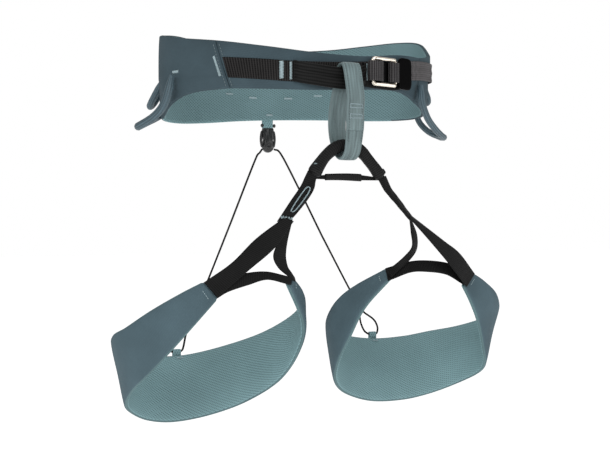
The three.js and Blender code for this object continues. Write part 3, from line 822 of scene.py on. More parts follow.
def finish(name):
    """The finish of that name, made the first time it is asked for."""
    found = bpy.data.materials.get(name)
    if found:
        return found
    c = bpy.context.scene.harness_colours
    size = bpy.context.scene.harness_sizes
    mesh = size.mesh_pitch / MM
    rib = size.rib_pitch / MM
    makers = {
        "laminated_softshell": lambda: laminated_cloth(name, c.shell),
        "belt_softshell": lambda: laminated_cloth(name, c.belt),
        "spacer_mesh": lambda: spacer_mesh(name, toned(c.lining, 1.12), mesh),
        "polyester_webbing": lambda: ribbed_webbing(name, c.webbing, rib, 0.0, 3.4, deep=0.0007),
        "tail_webbing": lambda: ribbed_webbing(name, c.tail, rib * 1.1, 0.1, 1.75),
        # The webbing round the buckle is a darker copy of the tail webbing: painted shade for its dim folds.
        "wrap_webbing": lambda: ribbed_webbing(name, toned(c.tail, 0.42), 2.2, 0.1, 2.2),
        "black_polyester": lambda: ribbed_webbing(name, toned(c.black, 0.6), 1.9, 0.3, 1.9, 0.6, 0.00015),
        "bridge_sleeve": lambda: ribbed_webbing(name, c.black, 2.2, 0.5, 1.9, 0.5, 0.0003),
        "tie_in_fabric": lambda: lengthwise_webbing(name, toned(c.black, 0.55), 3.1, 0.1, 2.3, 0.1),
        # Belay loop: two tones of one webbing. The ring is darker, as painted shade for its lower part, and
        # the outer layer lighter, as painted light on its upper front.
        "belay_polyamide": lambda: lengthwise_webbing(name, toned(c.belay, 0.7), 3.4, 0.9, 1.1),
        "belt_mesh": lambda: spacer_mesh(name, toned(c.lining, 0.85), mesh),
        "pad_edge_tape": lambda: laminated_cloth(name, toned(c.lining, 0.72)),
        "belay_painted_light": lambda: lengthwise_webbing(name, toned(c.belay, 0.78), 3.4, 0.9, 1.12),
        "gear_sleeve": lambda: lengthwise_webbing(name, c.gear, 2.6, 0.6, 1.35),
        "elastic_braid": lambda: braided(name, c.cord, 1.6),
        "acetal_plastic": lambda: moulded(name, c.plastic, 0.28, 900.0, 0.25, 0.5),
        "gloss_plastic": lambda: moulded(name, toned(c.plastic, 0.1), 0.35, 500.0, 0.0, 0.03),
        "forged_aluminium": lambda: forged_metal(name, c.metal, 0.2),
        "polyester_thread": lambda: thread(name, c.bartack),
        "tonal_thread": lambda: thread(name, toned(c.bartack, 0.4)),
        "belay_thread": lambda: thread(name, toned(c.bartack, 0.85)),
        "shade_thread": lambda: thread(name, toned(c.bartack, 0.3)),
    }
    return makers[name]()


def toned(colour, share):
    """A share of a colour."""
    return tuple(share * v for v in colour)


def settle(piece, body, slot, *nodes):
    """The piece rides on a body, takes its finish from a slot and stands for its CAD nodes."""
    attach(piece, body)
    if nodes:
        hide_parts(*nodes)
    return piece


SEWING = Sewing()


# ---- Belt --------------------------------------------------------------------------------------

def build_belt():
    """Lining ring, four shell panels with slanted joins, and the rolled edge tape round both rims."""
    size = bpy.context.scene.harness_sizes
    crown = size.belt_crown / MM
    lining = belt_form("belt_lining_mesh", (-180, 180), -2.5, 0, finish("belt_mesh"), 1.0, closed=True)
    settle(lining, "waist_belt", "mesh_lining", "belt_lining")
    shell = finish("belt_softshell")
    panels = {
        "belt_panel_right": (0, -6.5),
        "belt_panel_front": (-6.5, 3),
        "belt_panel_left": (3, 0),
        "belt_panel_back": (0, 0),
    }
    for (node, lean), start, stop in zip(panels.items(), JOINS, JOINS[1:]):
        ends = (start + JOIN_GAP, stop - JOIN_GAP)
        panel = belt_form(node + "_shell", ends, SHELL_IN, SHELL_OUT, shell, 0, crown, lean=lean)
        settle(panel, "waist_belt", "shell_fabric", node)
    for name, table, sign, ends, cloth, slot in (
        ("top", RIM_TOP, 1, (-180, 180), "belt_softshell", "shell_fabric"),
        ("front_bottom", RIM_BOTTOM, -1, (-198, 22), "belt_softshell", "shell_fabric"),
        ("back_bottom", RIM_BOTTOM, -1, (21, 163), "spacer_mesh", "mesh_lining"),
    ):
        whole = ends[1] - ends[0] == 360
        d = np.linspace(*ends, 300, endpoint=not whole)
        z = rim(table, d)
        drawn_in = -(sign < 0) * HIP_TAPER * np.maximum(0, np.cos(np.radians(d))) ** 2
        line = on_waist(d, drawn_in + belt_relief(d, z), z - sign * 0.9) + outward(d) * 0.25
        cap = 0 if whole else 1.5
        tape = tube(f"belt_{name}_edge_tape", line, 1.25, finish(cloth), 10, closed=whole, cap=cap)
        settle(tape, "waist_belt", slot)


def build_waist_webbing():
    """Main webbing, tie-in loop with its sleeve, webbing tail and the tail's elastic keeper."""
    top, bottom = waist_edges(WAIST_WEBBING, WEB_WIDTH, 90, lean=1.3)
    face = WEB_OUT + WEB_THICK
    webbing = band("waist_webbing_strap", top, bottom, WEB_OUT - 0.2, face, finish("polyester_webbing"))
    settle(webbing, "waist_belt", "waist_webbing", "waist_webbing")

    line = spline(TIE_IN_LINE, 90)
    sag = np.sin(np.pi * np.linspace(0, 1, 90)) ** 2
    top = on_waist(line[:, 0], line[:, 2], line[:, 1] + 10.6 - 1.2 * sag)
    bottom = on_waist(line[:, 0], line[:, 2], line[:, 1] - 10.6 - 1.6 * sag)
    creases = lambda run, s: 0.55 * np.sin(s * 6.5 + run * 0.07) * (1 - s**2)
    sleeve = band(
        "tie_in_sleeve", top, bottom, TIE_IN, TIE_IN + 2.4, finish("tie_in_fabric"), crown=0.5,
        relief=creases,
        columns=22,
    )
    settle(sleeve, "waist_belt", "black_webbing", "tie_in_loop")

    top, bottom = waist_edges(WEBBING_TAIL, WEB_WIDTH, 90)
    seam = lambda run, s: 0.35 * np.cos(s * 7.0) * (1 - s**2)
    tail = band("waist_webbing_tail", top, bottom, WEB_OUT, face, finish("tail_webbing"), relief=seam)
    settle(tail, "waist_belt", "waist_webbing", "webbing_tail")

    a = np.linspace(0, 2 * np.pi, 60, endpoint=False)
    radial = WEB_OUT + 1.1 + 2.25 * power(np.sin(a), 0.35)
    height = 5.8 + 11.2 * power(np.cos(a), 0.35)
    loop = on_waist(-2.0, 0, height) + outward(-2.0) * radial[:, None]
    side = tangent(-2.0) * 4.0
    keeper = ring_band("tail_keeper_elastic", loop, side, 0.6, finish("tail_webbing"))
    settle(keeper, "waist_belt", "black_webbing", "tail_keeper")


def ring_band(name, loop, side, half_thick, material):
    """A short closed band: a loop of centre points, widened to both sides by one vector."""
    return band(name, loop + side, loop - side, -half_thick, half_thick, material, closed=True, columns=8)


# ---- Buckle ------------------------------------------------------------------------------------

def buckle_place(degrees, out, z, along, up, off):
    """Points in a flat frame stood on the belt: along it, up and off it."""
    centre = on_waist(degrees, out, z)
    return (
        centre
        + tangent(degrees) * np.asarray(along)[..., None]
        + np.array([0, 0, 1.0]) * np.asarray(up)[..., None]
        + outward(degrees) * np.asarray(off)[..., None]
    )


def rounded_outline(w, h, r, count):
    """A rounded rectangle's outline as points: straight sides joined by quarter circles."""
    quarter = np.linspace(0, np.pi / 2, count // 4)
    x, y = [], []
    for k, (cx, cy) in enumerate([(1, 1), (-1, 1), (-1, -1), (1, -1)]):
        a = quarter + k * np.pi / 2
        x.append(cx * (w / 2 - r) + r * np.cos(a))
        y.append(cy * (h / 2 - r) + r * np.sin(a))
    return np.concatenate(x), np.concatenate(y)


def on_buckle(along, up, off):
    """Points in the flat frame of the buckle's metal frame."""
    return buckle_place(BUCKLE_ANGLE, BUCKLE_OUT, BUCKLE_Z - 0.7, along, up, off)


def buckle_strip(name, along, off, half_width, half_thick, material, columns):
    """A strip over the buckle along a line, with its edges half a width above and below it."""
    top, bottom = (on_buckle(along, 0 * along + up, off) for up in (half_width, -half_width))
    return band(name, top, bottom, -half_thick, half_thick, material, columns=columns)


def build_buckle():
    """Round-bar buckle frame, the webbing that wraps it, and the moulded cover plate with its foot."""
    x, y = rounded_outline(30.0, 25.8, 2.8, 64)
    ring = even(on_buckle(x, y, -1.9 * step_up(np.abs(x), 12.0, 14.8)), True, count=140)
    frame_bar = tube("buckle_frame_bar", ring, 2.0, finish("forged_aluminium"), 16, closed=True)
    settle(frame_bar, "waist_buckle", "buckle_metal", "buckle_frame")

    wraps = (
        ("buckle_webbing", ["buckle_strap"], [
            [-20.6, -1.2], [-20.2, 1.6], [-17.4, 3.5], [-12, 4.0], [-8, 3.8], [-5.8, 3.1], [-4.7, 1.4],
            [-4.4, -1.4],
        ]),
        ("buckle_webbing_return", [], [
            [6.4, -1.4], [6.6, 1.2], [7.6, 2.9], [9.5, 3.5], [12, 3.6], [15.6, 3.5],
        ]),
    )
    for name, nodes, fold in wraps:
        line = spline([[a, b, 0] for a, b in fold], 90)
        strap = buckle_strip(name, line[:, 0], line[:, 1] - 0.2, 10.2, 0.9, finish("wrap_webbing"), 12)
        settle(strap, "waist_buckle", "waist_webbing", *nodes)
    # A black bar in the gap between the two wraps: painted shade where the webbing folds in, not a part of
    # the buckle.
    along = np.linspace(-6.8, 8.8, 12)
    bar = buckle_strip("buckle_painted_shade_bar", along, 0 * along - 2.4, 11.0, 0.5, finish("gloss_plastic"), 6)
    settle(bar, "waist_buckle", "buckle_cover")

    a = np.linspace(0, 2 * np.pi, 72, endpoint=False)
    b = np.linspace(-np.pi / 2, np.pi / 2, 25)[1:-1]
    px = 10.3 * power(np.cos(b), 0.3)[:, None] * power(np.cos(a), 0.42)[None] - 1.9
    py = 16.4 * power(np.cos(b), 0.3)[:, None] * power(np.sin(a), 0.42)[None]
    off = 1.7 * power(np.sin(b), 0.35)[:, None]
    dent = 0.7 * np.exp(-((px / 2.6) ** 2) - (py / 9.5) ** 6) * (np.sin(b)[:, None] > 0)
    rings = buckle_place(PLATE_ANGLE, BUCKLE_OUT + 0.4, BUCKLE_Z - 0.4, px, py, off - dent)
    plate = surface("buckle_cover_plate", rings, finish("gloss_plastic"))
    settle(plate, "waist_belt", "buckle_cover", "buckle_plate")

    foot = spline(
        [[-85, -18.5, 4.2], [-80, -20, 4.2], [-73, -21, 4.2], [-66, -21, 4.6], [-61.5, -19, 5.4]], 60
    )
    edges = [on_waist(foot[:, 0], foot[:, 2], foot[:, 1] + v) for v in (4.5, -4.8)]
    heel = band("buckle_foot_strap", edges[0], edges[1], 0, 1.4, finish("black_polyester"), columns=8)
    settle(heel, "waist_belt", "black_webbing")


# ---- Gear loops --------------------------------------------------------------------------------

def build_gear_loops():
    """Moulded sleeves over cord: fluted tubes that thin where they are sewn to the belt."""
    for name, path in GEAR_LOOPS.items():
        line = even(spline(path, 160), spacing=0.8)
        run = lengths(line)
        near = np.clip(np.minimum(run, run[-1] - run) / 14, 0, 1)
        radius = 2.4 + (GEAR_RADIUS[name] - 2.4) * step_up(near, 0, 1)
        loop = tube(
            f"gear_loop_{name}_sleeve", line, radius, finish("gear_sleeve"), 40, cap=1.8, flutes=(10, 0.035),
        )
        settle(loop, f"gear_{name}", "gear_loop_plastic", f"gear_loop_{name}")


# ---- Belay loop and leg bridge -----------------------------------------------------------------

def belay_edges():
    """Both edges of the belay loop's webbing."""
    line = spline([[x, BELAY_Y + y, z] for y, z, x in BELAY_LINE], 220, closed=True)
    front = 1 - step_up(line[:, 1] - BELAY_Y, -2, 6)
    sway = -1.7 * step_up(-line[:, 2], 38, 55) * front - 1.8 * step_up(-line[:, 2], 14, 30) * (1 - front)
    line = line + np.outer(sway, [1, 0, 0])
    half = np.outer(9.8 - 0.9 * step_up(-line[:, 2], 60, 95), [1, 0, 0])
    return line + half, line - half, line


def build_belay_loop():
    """Two layers of heavy webbing in one ring, crowned, with the outer layer's cut end near the front."""
    top, bottom, line = belay_edges()
    loop = band(
        "belay_loop_webbing", top, bottom, -1.3, 1.3, finish("belay_polyamide"), closed=True,
        crown=0.35, columns=16
    )
    settle(loop, "belay_ring", "belay_webbing", "belay_loop")
    keep = (line[:, 1] < BELAY_Y - 2) & (line[:, 2] > -73)
    narrow = (top - bottom)[keep] * 0.03
    layer = band(
        "belay_loop_outer_layer", top[keep] - narrow, bottom[keep] + narrow, 1.1, 2.1, finish("belay_painted_light"),
        crown=0.35, columns=16,
    )
    settle(layer, "belay_ring", "belay_webbing")


def build_leg_bridge():
    """Stuffed webbing tube over the belay loop, its cross strap and sleeve, and the two risers."""
    line = even(stretched(spline([[x, BELAY_Y, z] for x, z in ARCH_LINE], 160), 2.5, 2.5), spacing=0.6)
    run = lengths(line)
    rng = np.random.default_rng(DETAIL_SEED)
    rough = np.convolve(rng.normal(size=len(run)), np.ones(9) / 3, "same")
    swell = 6.0 + 0.9 * np.exp(-((run / 16) ** 2)) + 0.25 * np.sin(run * 0.21) + 0.08 * rough
    arch = tube(
        "leg_bridge_sleeve", line, swell, finish("bridge_sleeve"), 30, ribs=0.07, rib_pitch=1.8, cap=4.0
    )
    settle(arch, "leg_bridge", "black_webbing", "leg_bridge_arch")
    for side, along, x, z in (("right", (0.55, 0, 0.83), -42.5, -109.5), ("left", (-0.6, 0, 0.8),
                              37.4, -111.0)):
        line = np.array([x, BELAY_Y, z]) + np.array(along) * np.linspace(-3, 3, 14)[:, None]
        nub = tube(f"leg_bridge_hem_{side}", line, 2.0, finish("black_polyester"), 14, cap=1.9)
        settle(nub, "leg_bridge", "black_webbing")

    x = np.linspace(-38, 33, 60)
    centre = np.stack([x, 0 * x + BELAY_Y + 2, -118 + 0.8 * np.sin((x + 31.5) * 0.06)], -1)
    narrow = 1.5 + 1.5 * np.sin((x + 38) / 71 * np.pi)
    up = np.stack([0 * x, 0 * x, narrow], -1)
    strap = band("cross_strap_webbing", centre + up, centre - up, -0.8, 0.8, finish("black_polyester"))
    settle(strap, "leg_bridge", "black_webbing", "cross_strap")
    x = np.linspace(-26, 13, 60)
    centre = np.stack([x, 0 * x + BELAY_Y + 2, -118 + 0.8 * np.sin((x + 31.5) * 0.06)], -1)
    up = np.stack([0 * x, 0 * x, 3.3 + 0.5 * step_up(x, -26, 10)], -1)
    sleeve = band(
        "cross_strap_cover", centre + up, centre - up, -2.0, 2.0, finish("bridge_sleeve"), crown=0.3
    )
    settle(sleeve, "leg_bridge", "black_webbing", "cross_strap_sleeve")

    for side, (first, second) in RISERS.items():
        a, b = (stretched(spline(edge, 60), 7 if side == "right" else 3.5, 5) for edge in (first, second))
        if side == "right":
            wide = 2.2 * np.sin(np.linspace(0, np.pi, len(a)))[:, None] * unit(a - b)
            a = a + wide
        rumple = lambda run, s: 0.3 * np.sin(run * 0.5 + s * 3) * (1 - s**2)
        riser = band(
            f"riser_{side}_webbing", a, b, -1.5, 1.5, finish("black_polyester"), crown=0.5,
            relief=rumple, columns=14
        )
        settle(riser, "leg_bridge", "black_webbing", f"riser_{side}")


# ---- Leg loops ---------------------------------------------------------------------------------

def build_leg_straps():
    """Webbing from each riser's foot down to both ends of the pad, and the band across the front."""
    for name, (first, second) in LEG_STRAPS.items():
        side = name.rsplit("_", 1)[1]
        reach = {"front_band_right": (2, 6), "front_band_left": (6, 2), "outer_strap_right": (5, 1),
                 "outer_strap_left": (5, 3)}.get(name, (5, 8))
        a, b = (stretched(spline(edge, 90), *reach) for edge in (first, second))
        strap = band(f"{name}_webbing", a, b, -0.8, 0.8, finish("black_polyester"), crown=0.25)
        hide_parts(name)
        if name.startswith("front"):
            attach(strap, f"leg_{side}")
            continue
        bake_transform(strap)


def pad_edges(side, count=180):
    """Hip and knee edge of a leg pad, and the way its outside faces."""
    hip, knee, turn = LEG_PADS[side]
    return spline(hip, count), spline(knee, count), turn


def pad_relief(run, s):
    """Slow waves of the foam, stronger toward the middle of the pad."""
    return 0.45 * np.sin(run * 0.035 + s * 1.2) * (1 - s**2)


def build_leg_pads():
    """Outer shell, mesh lining and the lining's turned edge for each thigh pad."""
    crown = bpy.context.scene.harness_sizes.pad_crown / MM
    for side in LEG_PADS:
        hip, knee, turn = pad_edges(side)
        shell = band(
            f"leg_pad_{side}_shell", hip, knee, -1.4, 0.8, finish("laminated_softshell"), flip=turn, crown=0,
            relief=lambda run, s: pad_relief(run, s) + crown * (1 - s**4), columns=24,
        )
        settle(shell, f"leg_{side}", "shell_fabric", f"leg_pad_shell_{side}")
        lining = band(
            f"leg_pad_{side}_lining", hip, knee, -3.6, -1.5, finish("spacer_mesh"), flip=turn, crown=0,
            relief=lambda run, s: pad_relief(run, s) - crown * (1 - s**4), columns=24,
        )
        settle(lining, f"leg_{side}", "mesh_lining", f"leg_pad_lining_{side}")
        across = hip - knee
        normal = turn * unit(np.cross(travel((hip + knee) / 2), across))
        inward = unit(across)
        for edge_name, line, sign in (("hip", hip, 1), ("knee", knee, -1)):
            path = line - inward * sign * 0.6 - normal * 1.4
            edge = tube(f"leg_pad_{side}_{edge_name}_edge", path, 1.5, finish("pad_edge_tape"), 10, cap=2.0)
            settle(edge, f"leg_{side}", "mesh_lining")


# ---- Rear suspension ---------------------------------------------------------------------------

def block(name, size, centre, material, square):
    """A moulded block: a superellipsoid, whose radius along each axis is the sine or cosine of the
    angles raised to a small power, so its faces are nearly flat and its edges round."""
    a = np.linspace(0, 2 * np.pi, 40, endpoint=False)
    b = np.linspace(-np.pi / 2, np.pi / 2, 21)[1:-1]
    level = power(np.cos(b), square)[:, None]
    x = level * power(np.cos(a), square)[None]
    y = level * power(np.sin(a), square)[None]
    z = np.broadcast_to(power(np.sin(b), square)[:, None], x.shape)
    rings = np.stack([x, y, z], -1) * np.asarray(size) / 2 + np.asarray(centre)
    return surface(name, rings, material)


def build_rear():
    """Webbing tab, two-part clip with its spring arms, elastic cords, knots, loops and leg tabs."""
    tab = block("rear_tab_webbing", (12.4, 6.4, 15.5), (3, CLIP_Y, -42.6), finish("spacer_mesh"), 0.25)
    settle(tab, "waist_belt", "mesh_lining", "rear_tab")
    plastic = finish("acetal_plastic")
    shoulders = block("clip_insert_body", (14.0, 6.6, 15.5), (CLIP_X, CLIP_Y, -56.2), plastic, 0.35)
    settle(shoulders, "waist_belt", "clip_plastic", "clip_insert")
    x = np.linspace(-9.6, 9.6, 40)
    bar = tube("clip_webbing_bar", np.stack([CLIP_X + x, 0 * x + CLIP_Y - 1.2, 0 * x - 46.6], -1),
               1.5 + 0.8 * np.exp(-(((np.abs(x) - 8) / 1.6) ** 2)), plastic, 16, cap=1.8)
    settle(bar, "waist_belt", "clip_plastic")
    build_clip_socket(plastic)
    for side, sign in (("right", -1), ("left", 1)):
        z = np.linspace(-52.5, -72.6, 30)
        bow = 1.5 * np.sin((z + 52.5) / -20.1 * np.pi)
        line = np.stack([CLIP_X + sign * (7.3 + bow), 0 * z + CLIP_Y, z], -1)
        prong = tube(f"clip_arm_{side}", line, 1.5, plastic, 14, start=(0, 1, 0), cap=2.0)
        settle(prong, f"prong_{side}", "clip_plastic", f"clip_prong_{side}")
    for side in CORDS:
        build_cord(side)


def build_clip_socket(plastic):
    """The clip's body: a barrel that widens downward to a round foot, a raised spine, and the rim of the
    cord's eye."""
    z = np.linspace(-51, -78.6, 60)
    a = np.linspace(0, 2 * np.pi, 56, endpoint=False)
    t = (z + 51) / -27.6
    foot = np.sqrt(np.clip(1 - np.clip((t - 0.72) / 0.285, 0, 1) ** 2, 0.04, 1))
    half = (4.4 + 1.9 * step_up(t, 0.1, 0.6) + 0.9 * step_up(t, 0.6, 0.75)) * foot
    deep = (4.0 + 0.9 * np.sin(t * np.pi)) * np.sqrt(foot)
    x = half[:, None] * power(np.cos(a), 0.6)[None]
    y = deep[:, None] * power(np.sin(a), 0.6)[None]
    spine = 0.9 * np.exp(-((x / 1.5) ** 4)) * np.sign(y) * (np.abs(y) > 2.0) * (t < 0.55)[:, None]
    eye = 1.6 * np.exp(-(((x / 2.7) ** 2 + ((z[:, None] + 70.2) / 2.3) ** 2) ** 2)) * (y < 0)
    rings = np.stack([CLIP_X + x, CLIP_Y + y + spine + eye, np.broadcast_to(z[:, None], x.shape)], -1)
    socket = surface("clip_socket_body", rings, plastic)
    settle(socket, "waist_belt", "clip_plastic", "clip_socket")
    u = np.linspace(0, 2 * np.pi, 60, endpoint=False)
    line = np.stack([CLIP_X + 3.3 * np.cos(u), 0 * u + CLIP_Y - 4.2, -70.2 + 2.7 * np.sin(u)], -1)
    rim_ring = tube("clip_eye_rim", line, 0.75, plastic, 12, closed=True, start=(0, 1, 0))
    settle(rim_ring, "waist_belt", "clip_plastic")


def build_cord(side):
    """One elastic cord from the clip to the leg loop. It is drawn in two pieces that meet on the leg
    bridge, so that each bends across one joint, then a knot and a loop through the leg tab."""
    material = finish("elastic_braid")
    diameter = bpy.context.scene.harness_sizes.cord_diameter
    radius = diameter / MM / 2
    path = CORDS[side]
    upper = even(spline(path[: CORD_SPLIT + 1], 60), spacing=2.0)
    lower = even(spline(path[CORD_SPLIT:], 60), spacing=2.0)
    onward = unit(np.array(path[-1], float) - path[-2])
    knot_at = np.array(path[-1]) + onward * 3.15

    first = tube(f"rear_cord_{side}_upper", upper, radius, material, 10)
    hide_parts(f"rear_cord_upper_{side}")
    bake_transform(first)

    a = np.linspace(0, 4 * np.pi, 60, endpoint=False)
    reach = 1.25 + 0.5 * np.cos(a)
    wrap = np.stack([np.cos(a / 2 * 3) * reach, np.sin(a / 2 * 3) * reach, 1.5 * np.sin(a)], -1)
    knot = tube(f"cord_knot_{side}_overhand", wrap + knot_at, 1.15, material, 10, closed=True)
    settle(knot, f"leg_{side}", "elastic_cord", f"cord_knot_{side}")

    second = tube(f"rear_cord_{side}_lower", np.vstack([lower, knot_at]), radius, material, 10)
    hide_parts(f"rear_cord_lower_{side}")
    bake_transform(second)

    tab_x, tab_y, tab_z = LEG_TABS[side]
    loop_line = even(spline([knot_at.tolist(), *CORD_LOOPS[side]], 120), spacing=1.2)
    if side == "left":
        loop_line = np.vstack([loop_line, knot_at])
    loop = tube(f"cord_loop_{side}_eye", loop_line, radius, material, 10)
    settle(loop, f"leg_{side}", "elastic_cord", f"cord_loop_{side}")

    v = np.linspace(0, 2 * np.pi, 60, endpoint=False)
    fold_y = tab_y + 1.9 * power(np.cos(v), 0.5)
    fold_z = tab_z + 3.9 * power(np.sin(v), 0.5)
    fold = np.stack([0 * v + tab_x, fold_y, fold_z], -1)
    tab = ring_band(f"leg_tab_{side}_fold", fold, np.array([4.5, 0, 0.0]), 0.6, finish("spacer_mesh"))
    settle(tab, f"leg_{side}", "mesh_lining", f"leg_tab_{side}")
    hip, knee, _ = pad_edges(side)
    k = np.argmin(np.linalg.norm(hip - [tab_x, tab_y, tab_z], axis=1))
    sewn = hip[k] + unit(knee[k] - hip[k]) * 2.0
    root = spline([[tab_x, tab_y, tab_z - 2.6], [tab_x, (tab_y + sewn[1]) / 2, (tab_z - 4.4 + sewn[2]) / 2],
                   [tab_x, sewn[1], sewn[2]]], 16)
    half = np.array([4.5, 0, 0.0])
    foot = band(
        f"leg_tab_{side}_foot", root + half, root - half, -0.7, 0.7, finish("spacer_mesh"), columns=8
    )
    settle(foot, f"leg_{side}", "mesh_lining")


# ---- Sewing ------------------------------------------------------------------------------------

def sew_belt():
    """Seams and bartacks of the belt, its webbing and the gear loop anchors."""
    light = ("belt", "light")
    tonal = ("belt", "tonal")
    face = SHELL_OUT + 1.0
    # Double slanted seam where the right panel meets the front one.
    for shift in (-1.5, 1.3):
        z = np.linspace(-28, 17, 40)
        d = -137.7 + shift - 3.25 * (z + 6) / 24
        SEWING.row(tonal, belt_point(d, z, face - 0.2), outward(d))
    # Slanted bar beside it.
    a, b = belt_point(-141.7, 2.0, face), belt_point(-138.8, -17.7, face)
    SEWING.bartack(light, (a + b) / 2, b - a, outward(-140), np.linalg.norm(b - a), 3.0)
    # Two bars at the start of the tie-in loop, and one at its end.
    for degrees, z, width, up in ((-113.6, -11.6, 4.6, 17), (-110.0, -12.3, 2.8, 17), (-79.3, -9.6,
                                  2.2, 17)):
        centre = on_waist(degrees, 0, z) + outward(degrees) * (WEB_OUT + WEB_THICK + 0.2)
        SEWING.bartack(light, centre, (0, 0, 1), outward(degrees), up, width)
    SEWING.bartack(light, belt_point(-164.3, -9.7, face), tangent(-164.3), outward(-164.3), 8.5, 3.0)
    # Bars inside the back, which hold the suspension and the haul loop.
    for degrees, z, width in ((108.0, -12.5, 2.0), (95.7, -15.0, 2.6), (78.5, -14.0, 2.6), (64.0,
                              -10.0, 2.6),
                              (87.5, -34.5, 2.6)):
        centre = on_waist(degrees, belt_relief(degrees, z), z) - outward(degrees) * 3.2
        SEWING.bartack(light, centre, tangent(degrees), -outward(degrees), 9.5 if z > -30 else 7.0, width)


def sew_webbing():
    """Box seams of the belay loop, the pill seam of the riser and the bars of the leg loops."""
    _, _, line = belay_edges()
    tangents = travel(line, True)
    normals = unit(np.cross(tangents, [1.0, 0, 0]))
    front = (line[:, 1] < BELAY_Y - 4) & (line[:, 2] > -84)
    part, part_normals = line[front], normals[front]
    for x in (-7.4, 7.4):
        SEWING.row(("belay", "dark"), part + [x, 0, 0] + part_normals * 2.3, part_normals, 2.6, 1.7)
    for z in (-47.0, -50.5, -56.6, -60.4):
        k = np.argmin(np.abs(part[:, 2] - z))
        SEWING.bartack(
            ("belay", "tonal"), part[k] + part_normals[k] * 2.5, (1, 0, 0), part_normals[k], 12.5, 1.2
        )
    for x, z in ((-6.4, -48.7), (6.4, -48.7), (-6.4, -58.5), (6.4, -58.5)):
        k = np.argmin(np.abs(part[:, 2] - z))
        SEWING.bartack(
            ("belay", "tonal"), part[k] + [x, 0, 0] + part_normals[k] * 2.5, (0, 0, 1),
            part_normals[k], 4.0, 1.0
        )
    sew_bridge()
    sew_pads()


def sew_bridge():
    """Pill seam and zigzag bar of the right riser, and the bar at the right end of the arch."""
    first, second = (np.array(edge, float) for edge in RISERS["right"])
    a, b = spline(first, 60), spline(second, 60)
    middle, along, across = (a + b) / 2, travel((a + b) / 2), unit(a - b)
    normals = unit(np.cross(along, across))
    normals = normals * np.sign(-normals[:, 1:2])
    u = np.linspace(0, 2 * np.pi, 120)
    at = 27 + 14.5 * power(np.cos(u), 0.9)
    side = 3.3 * power(np.sin(u), 0.7) + 1.0
    centre, sideways, facing = (pick(rows, at, np.arange(60)) for rows in (middle, across, normals))
    pill = centre + sideways * side[:, None] + facing * 2.3
    for spread in (-0.35, 0.35):
        SEWING.row(("bridge", "light"), pill + sideways * spread, facing, 1.5, 1.35)
    k = 55
    SEWING.bartack(("bridge", "light"), middle[k] + normals[k] * 3.0, across[k], normals[k], 12.5, 3.2, 1.5)
    facing = unit(np.array([-0.75, -0.6, 0.35]))
    centre = np.array([-35.5, BELAY_Y, -108.5]) + facing * 6.2
    SEWING.bartack(("bridge", "light"), centre, (0.55, 0, 0.83), facing, 4.6, 4.0, 1.0)


def sew_pads():
    """Short rows at both ends of each pad, and the bar under each leg tab."""
    for side in LEG_PADS:
        hip, knee, turn = pad_edges(side)
        normal = turn * unit(np.cross(travel((hip + knee) / 2), hip - knee))
        for k in (3, -4):
            a, b = hip[k], knee[k]
            line = a + (b - a) * np.linspace(0.3, 0.75, 20)[:, None]
            SEWING.row((side, "light"), line + normal[k] * 2.3, normal[k], 2.6, 1.9)
        tab = np.array(LEG_TABS[side], float)
        k = np.argmin(np.linalg.norm(hip - tab, axis=1))
        inside = hip[k] + unit(knee[k] - hip[k]) * 4.5 - normal[k] * 4.9
        SEWING.bartack((side, "light"), inside, travel(hip)[k], -normal[k], 7.5, 1.6)


def build_sewing():
    """Turns the collected threads into pieces, one for each body and colour."""
    sew_belt()
    sew_webbing()
    size = bpy.context.scene.harness_sizes.thread_radius / MM
    for key, name, body, slot, material, radius in (
        (("belt", "light"), "belt_bartacks", "waist_belt", "mesh_lining", "polyester_thread", size),
        (("belt", "tonal"), "belt_join_seams", "waist_belt", "shell_fabric", "tonal_thread", size * 0.8),
        (("belay", "tonal"), "belay_loop_bartacks", "belay_ring", "belay_webbing", "belay_thread",
        size * 0.9),
        (("belay", "dark"), "belay_loop_seams", "belay_ring", "belay_webbing", "shade_thread", size * 0.8),
        (("bridge", "light"), "riser_seams", "leg_bridge", "mesh_lining", "polyester_thread", size * 0.9),
        (("right", "light"), "leg_pad_right_bartacks", "leg_right", "mesh_lining",
        "polyester_thread", size * 0.9),
        (("left", "light"), "leg_pad_left_bartacks", "leg_left", "mesh_lining", "polyester_thread",
        size * 0.9),
    ):
        settle(SEWING.make(key, name, radius, finish(material)), body, slot)


# ---- Stage -------------------------------------------------------------------------------------

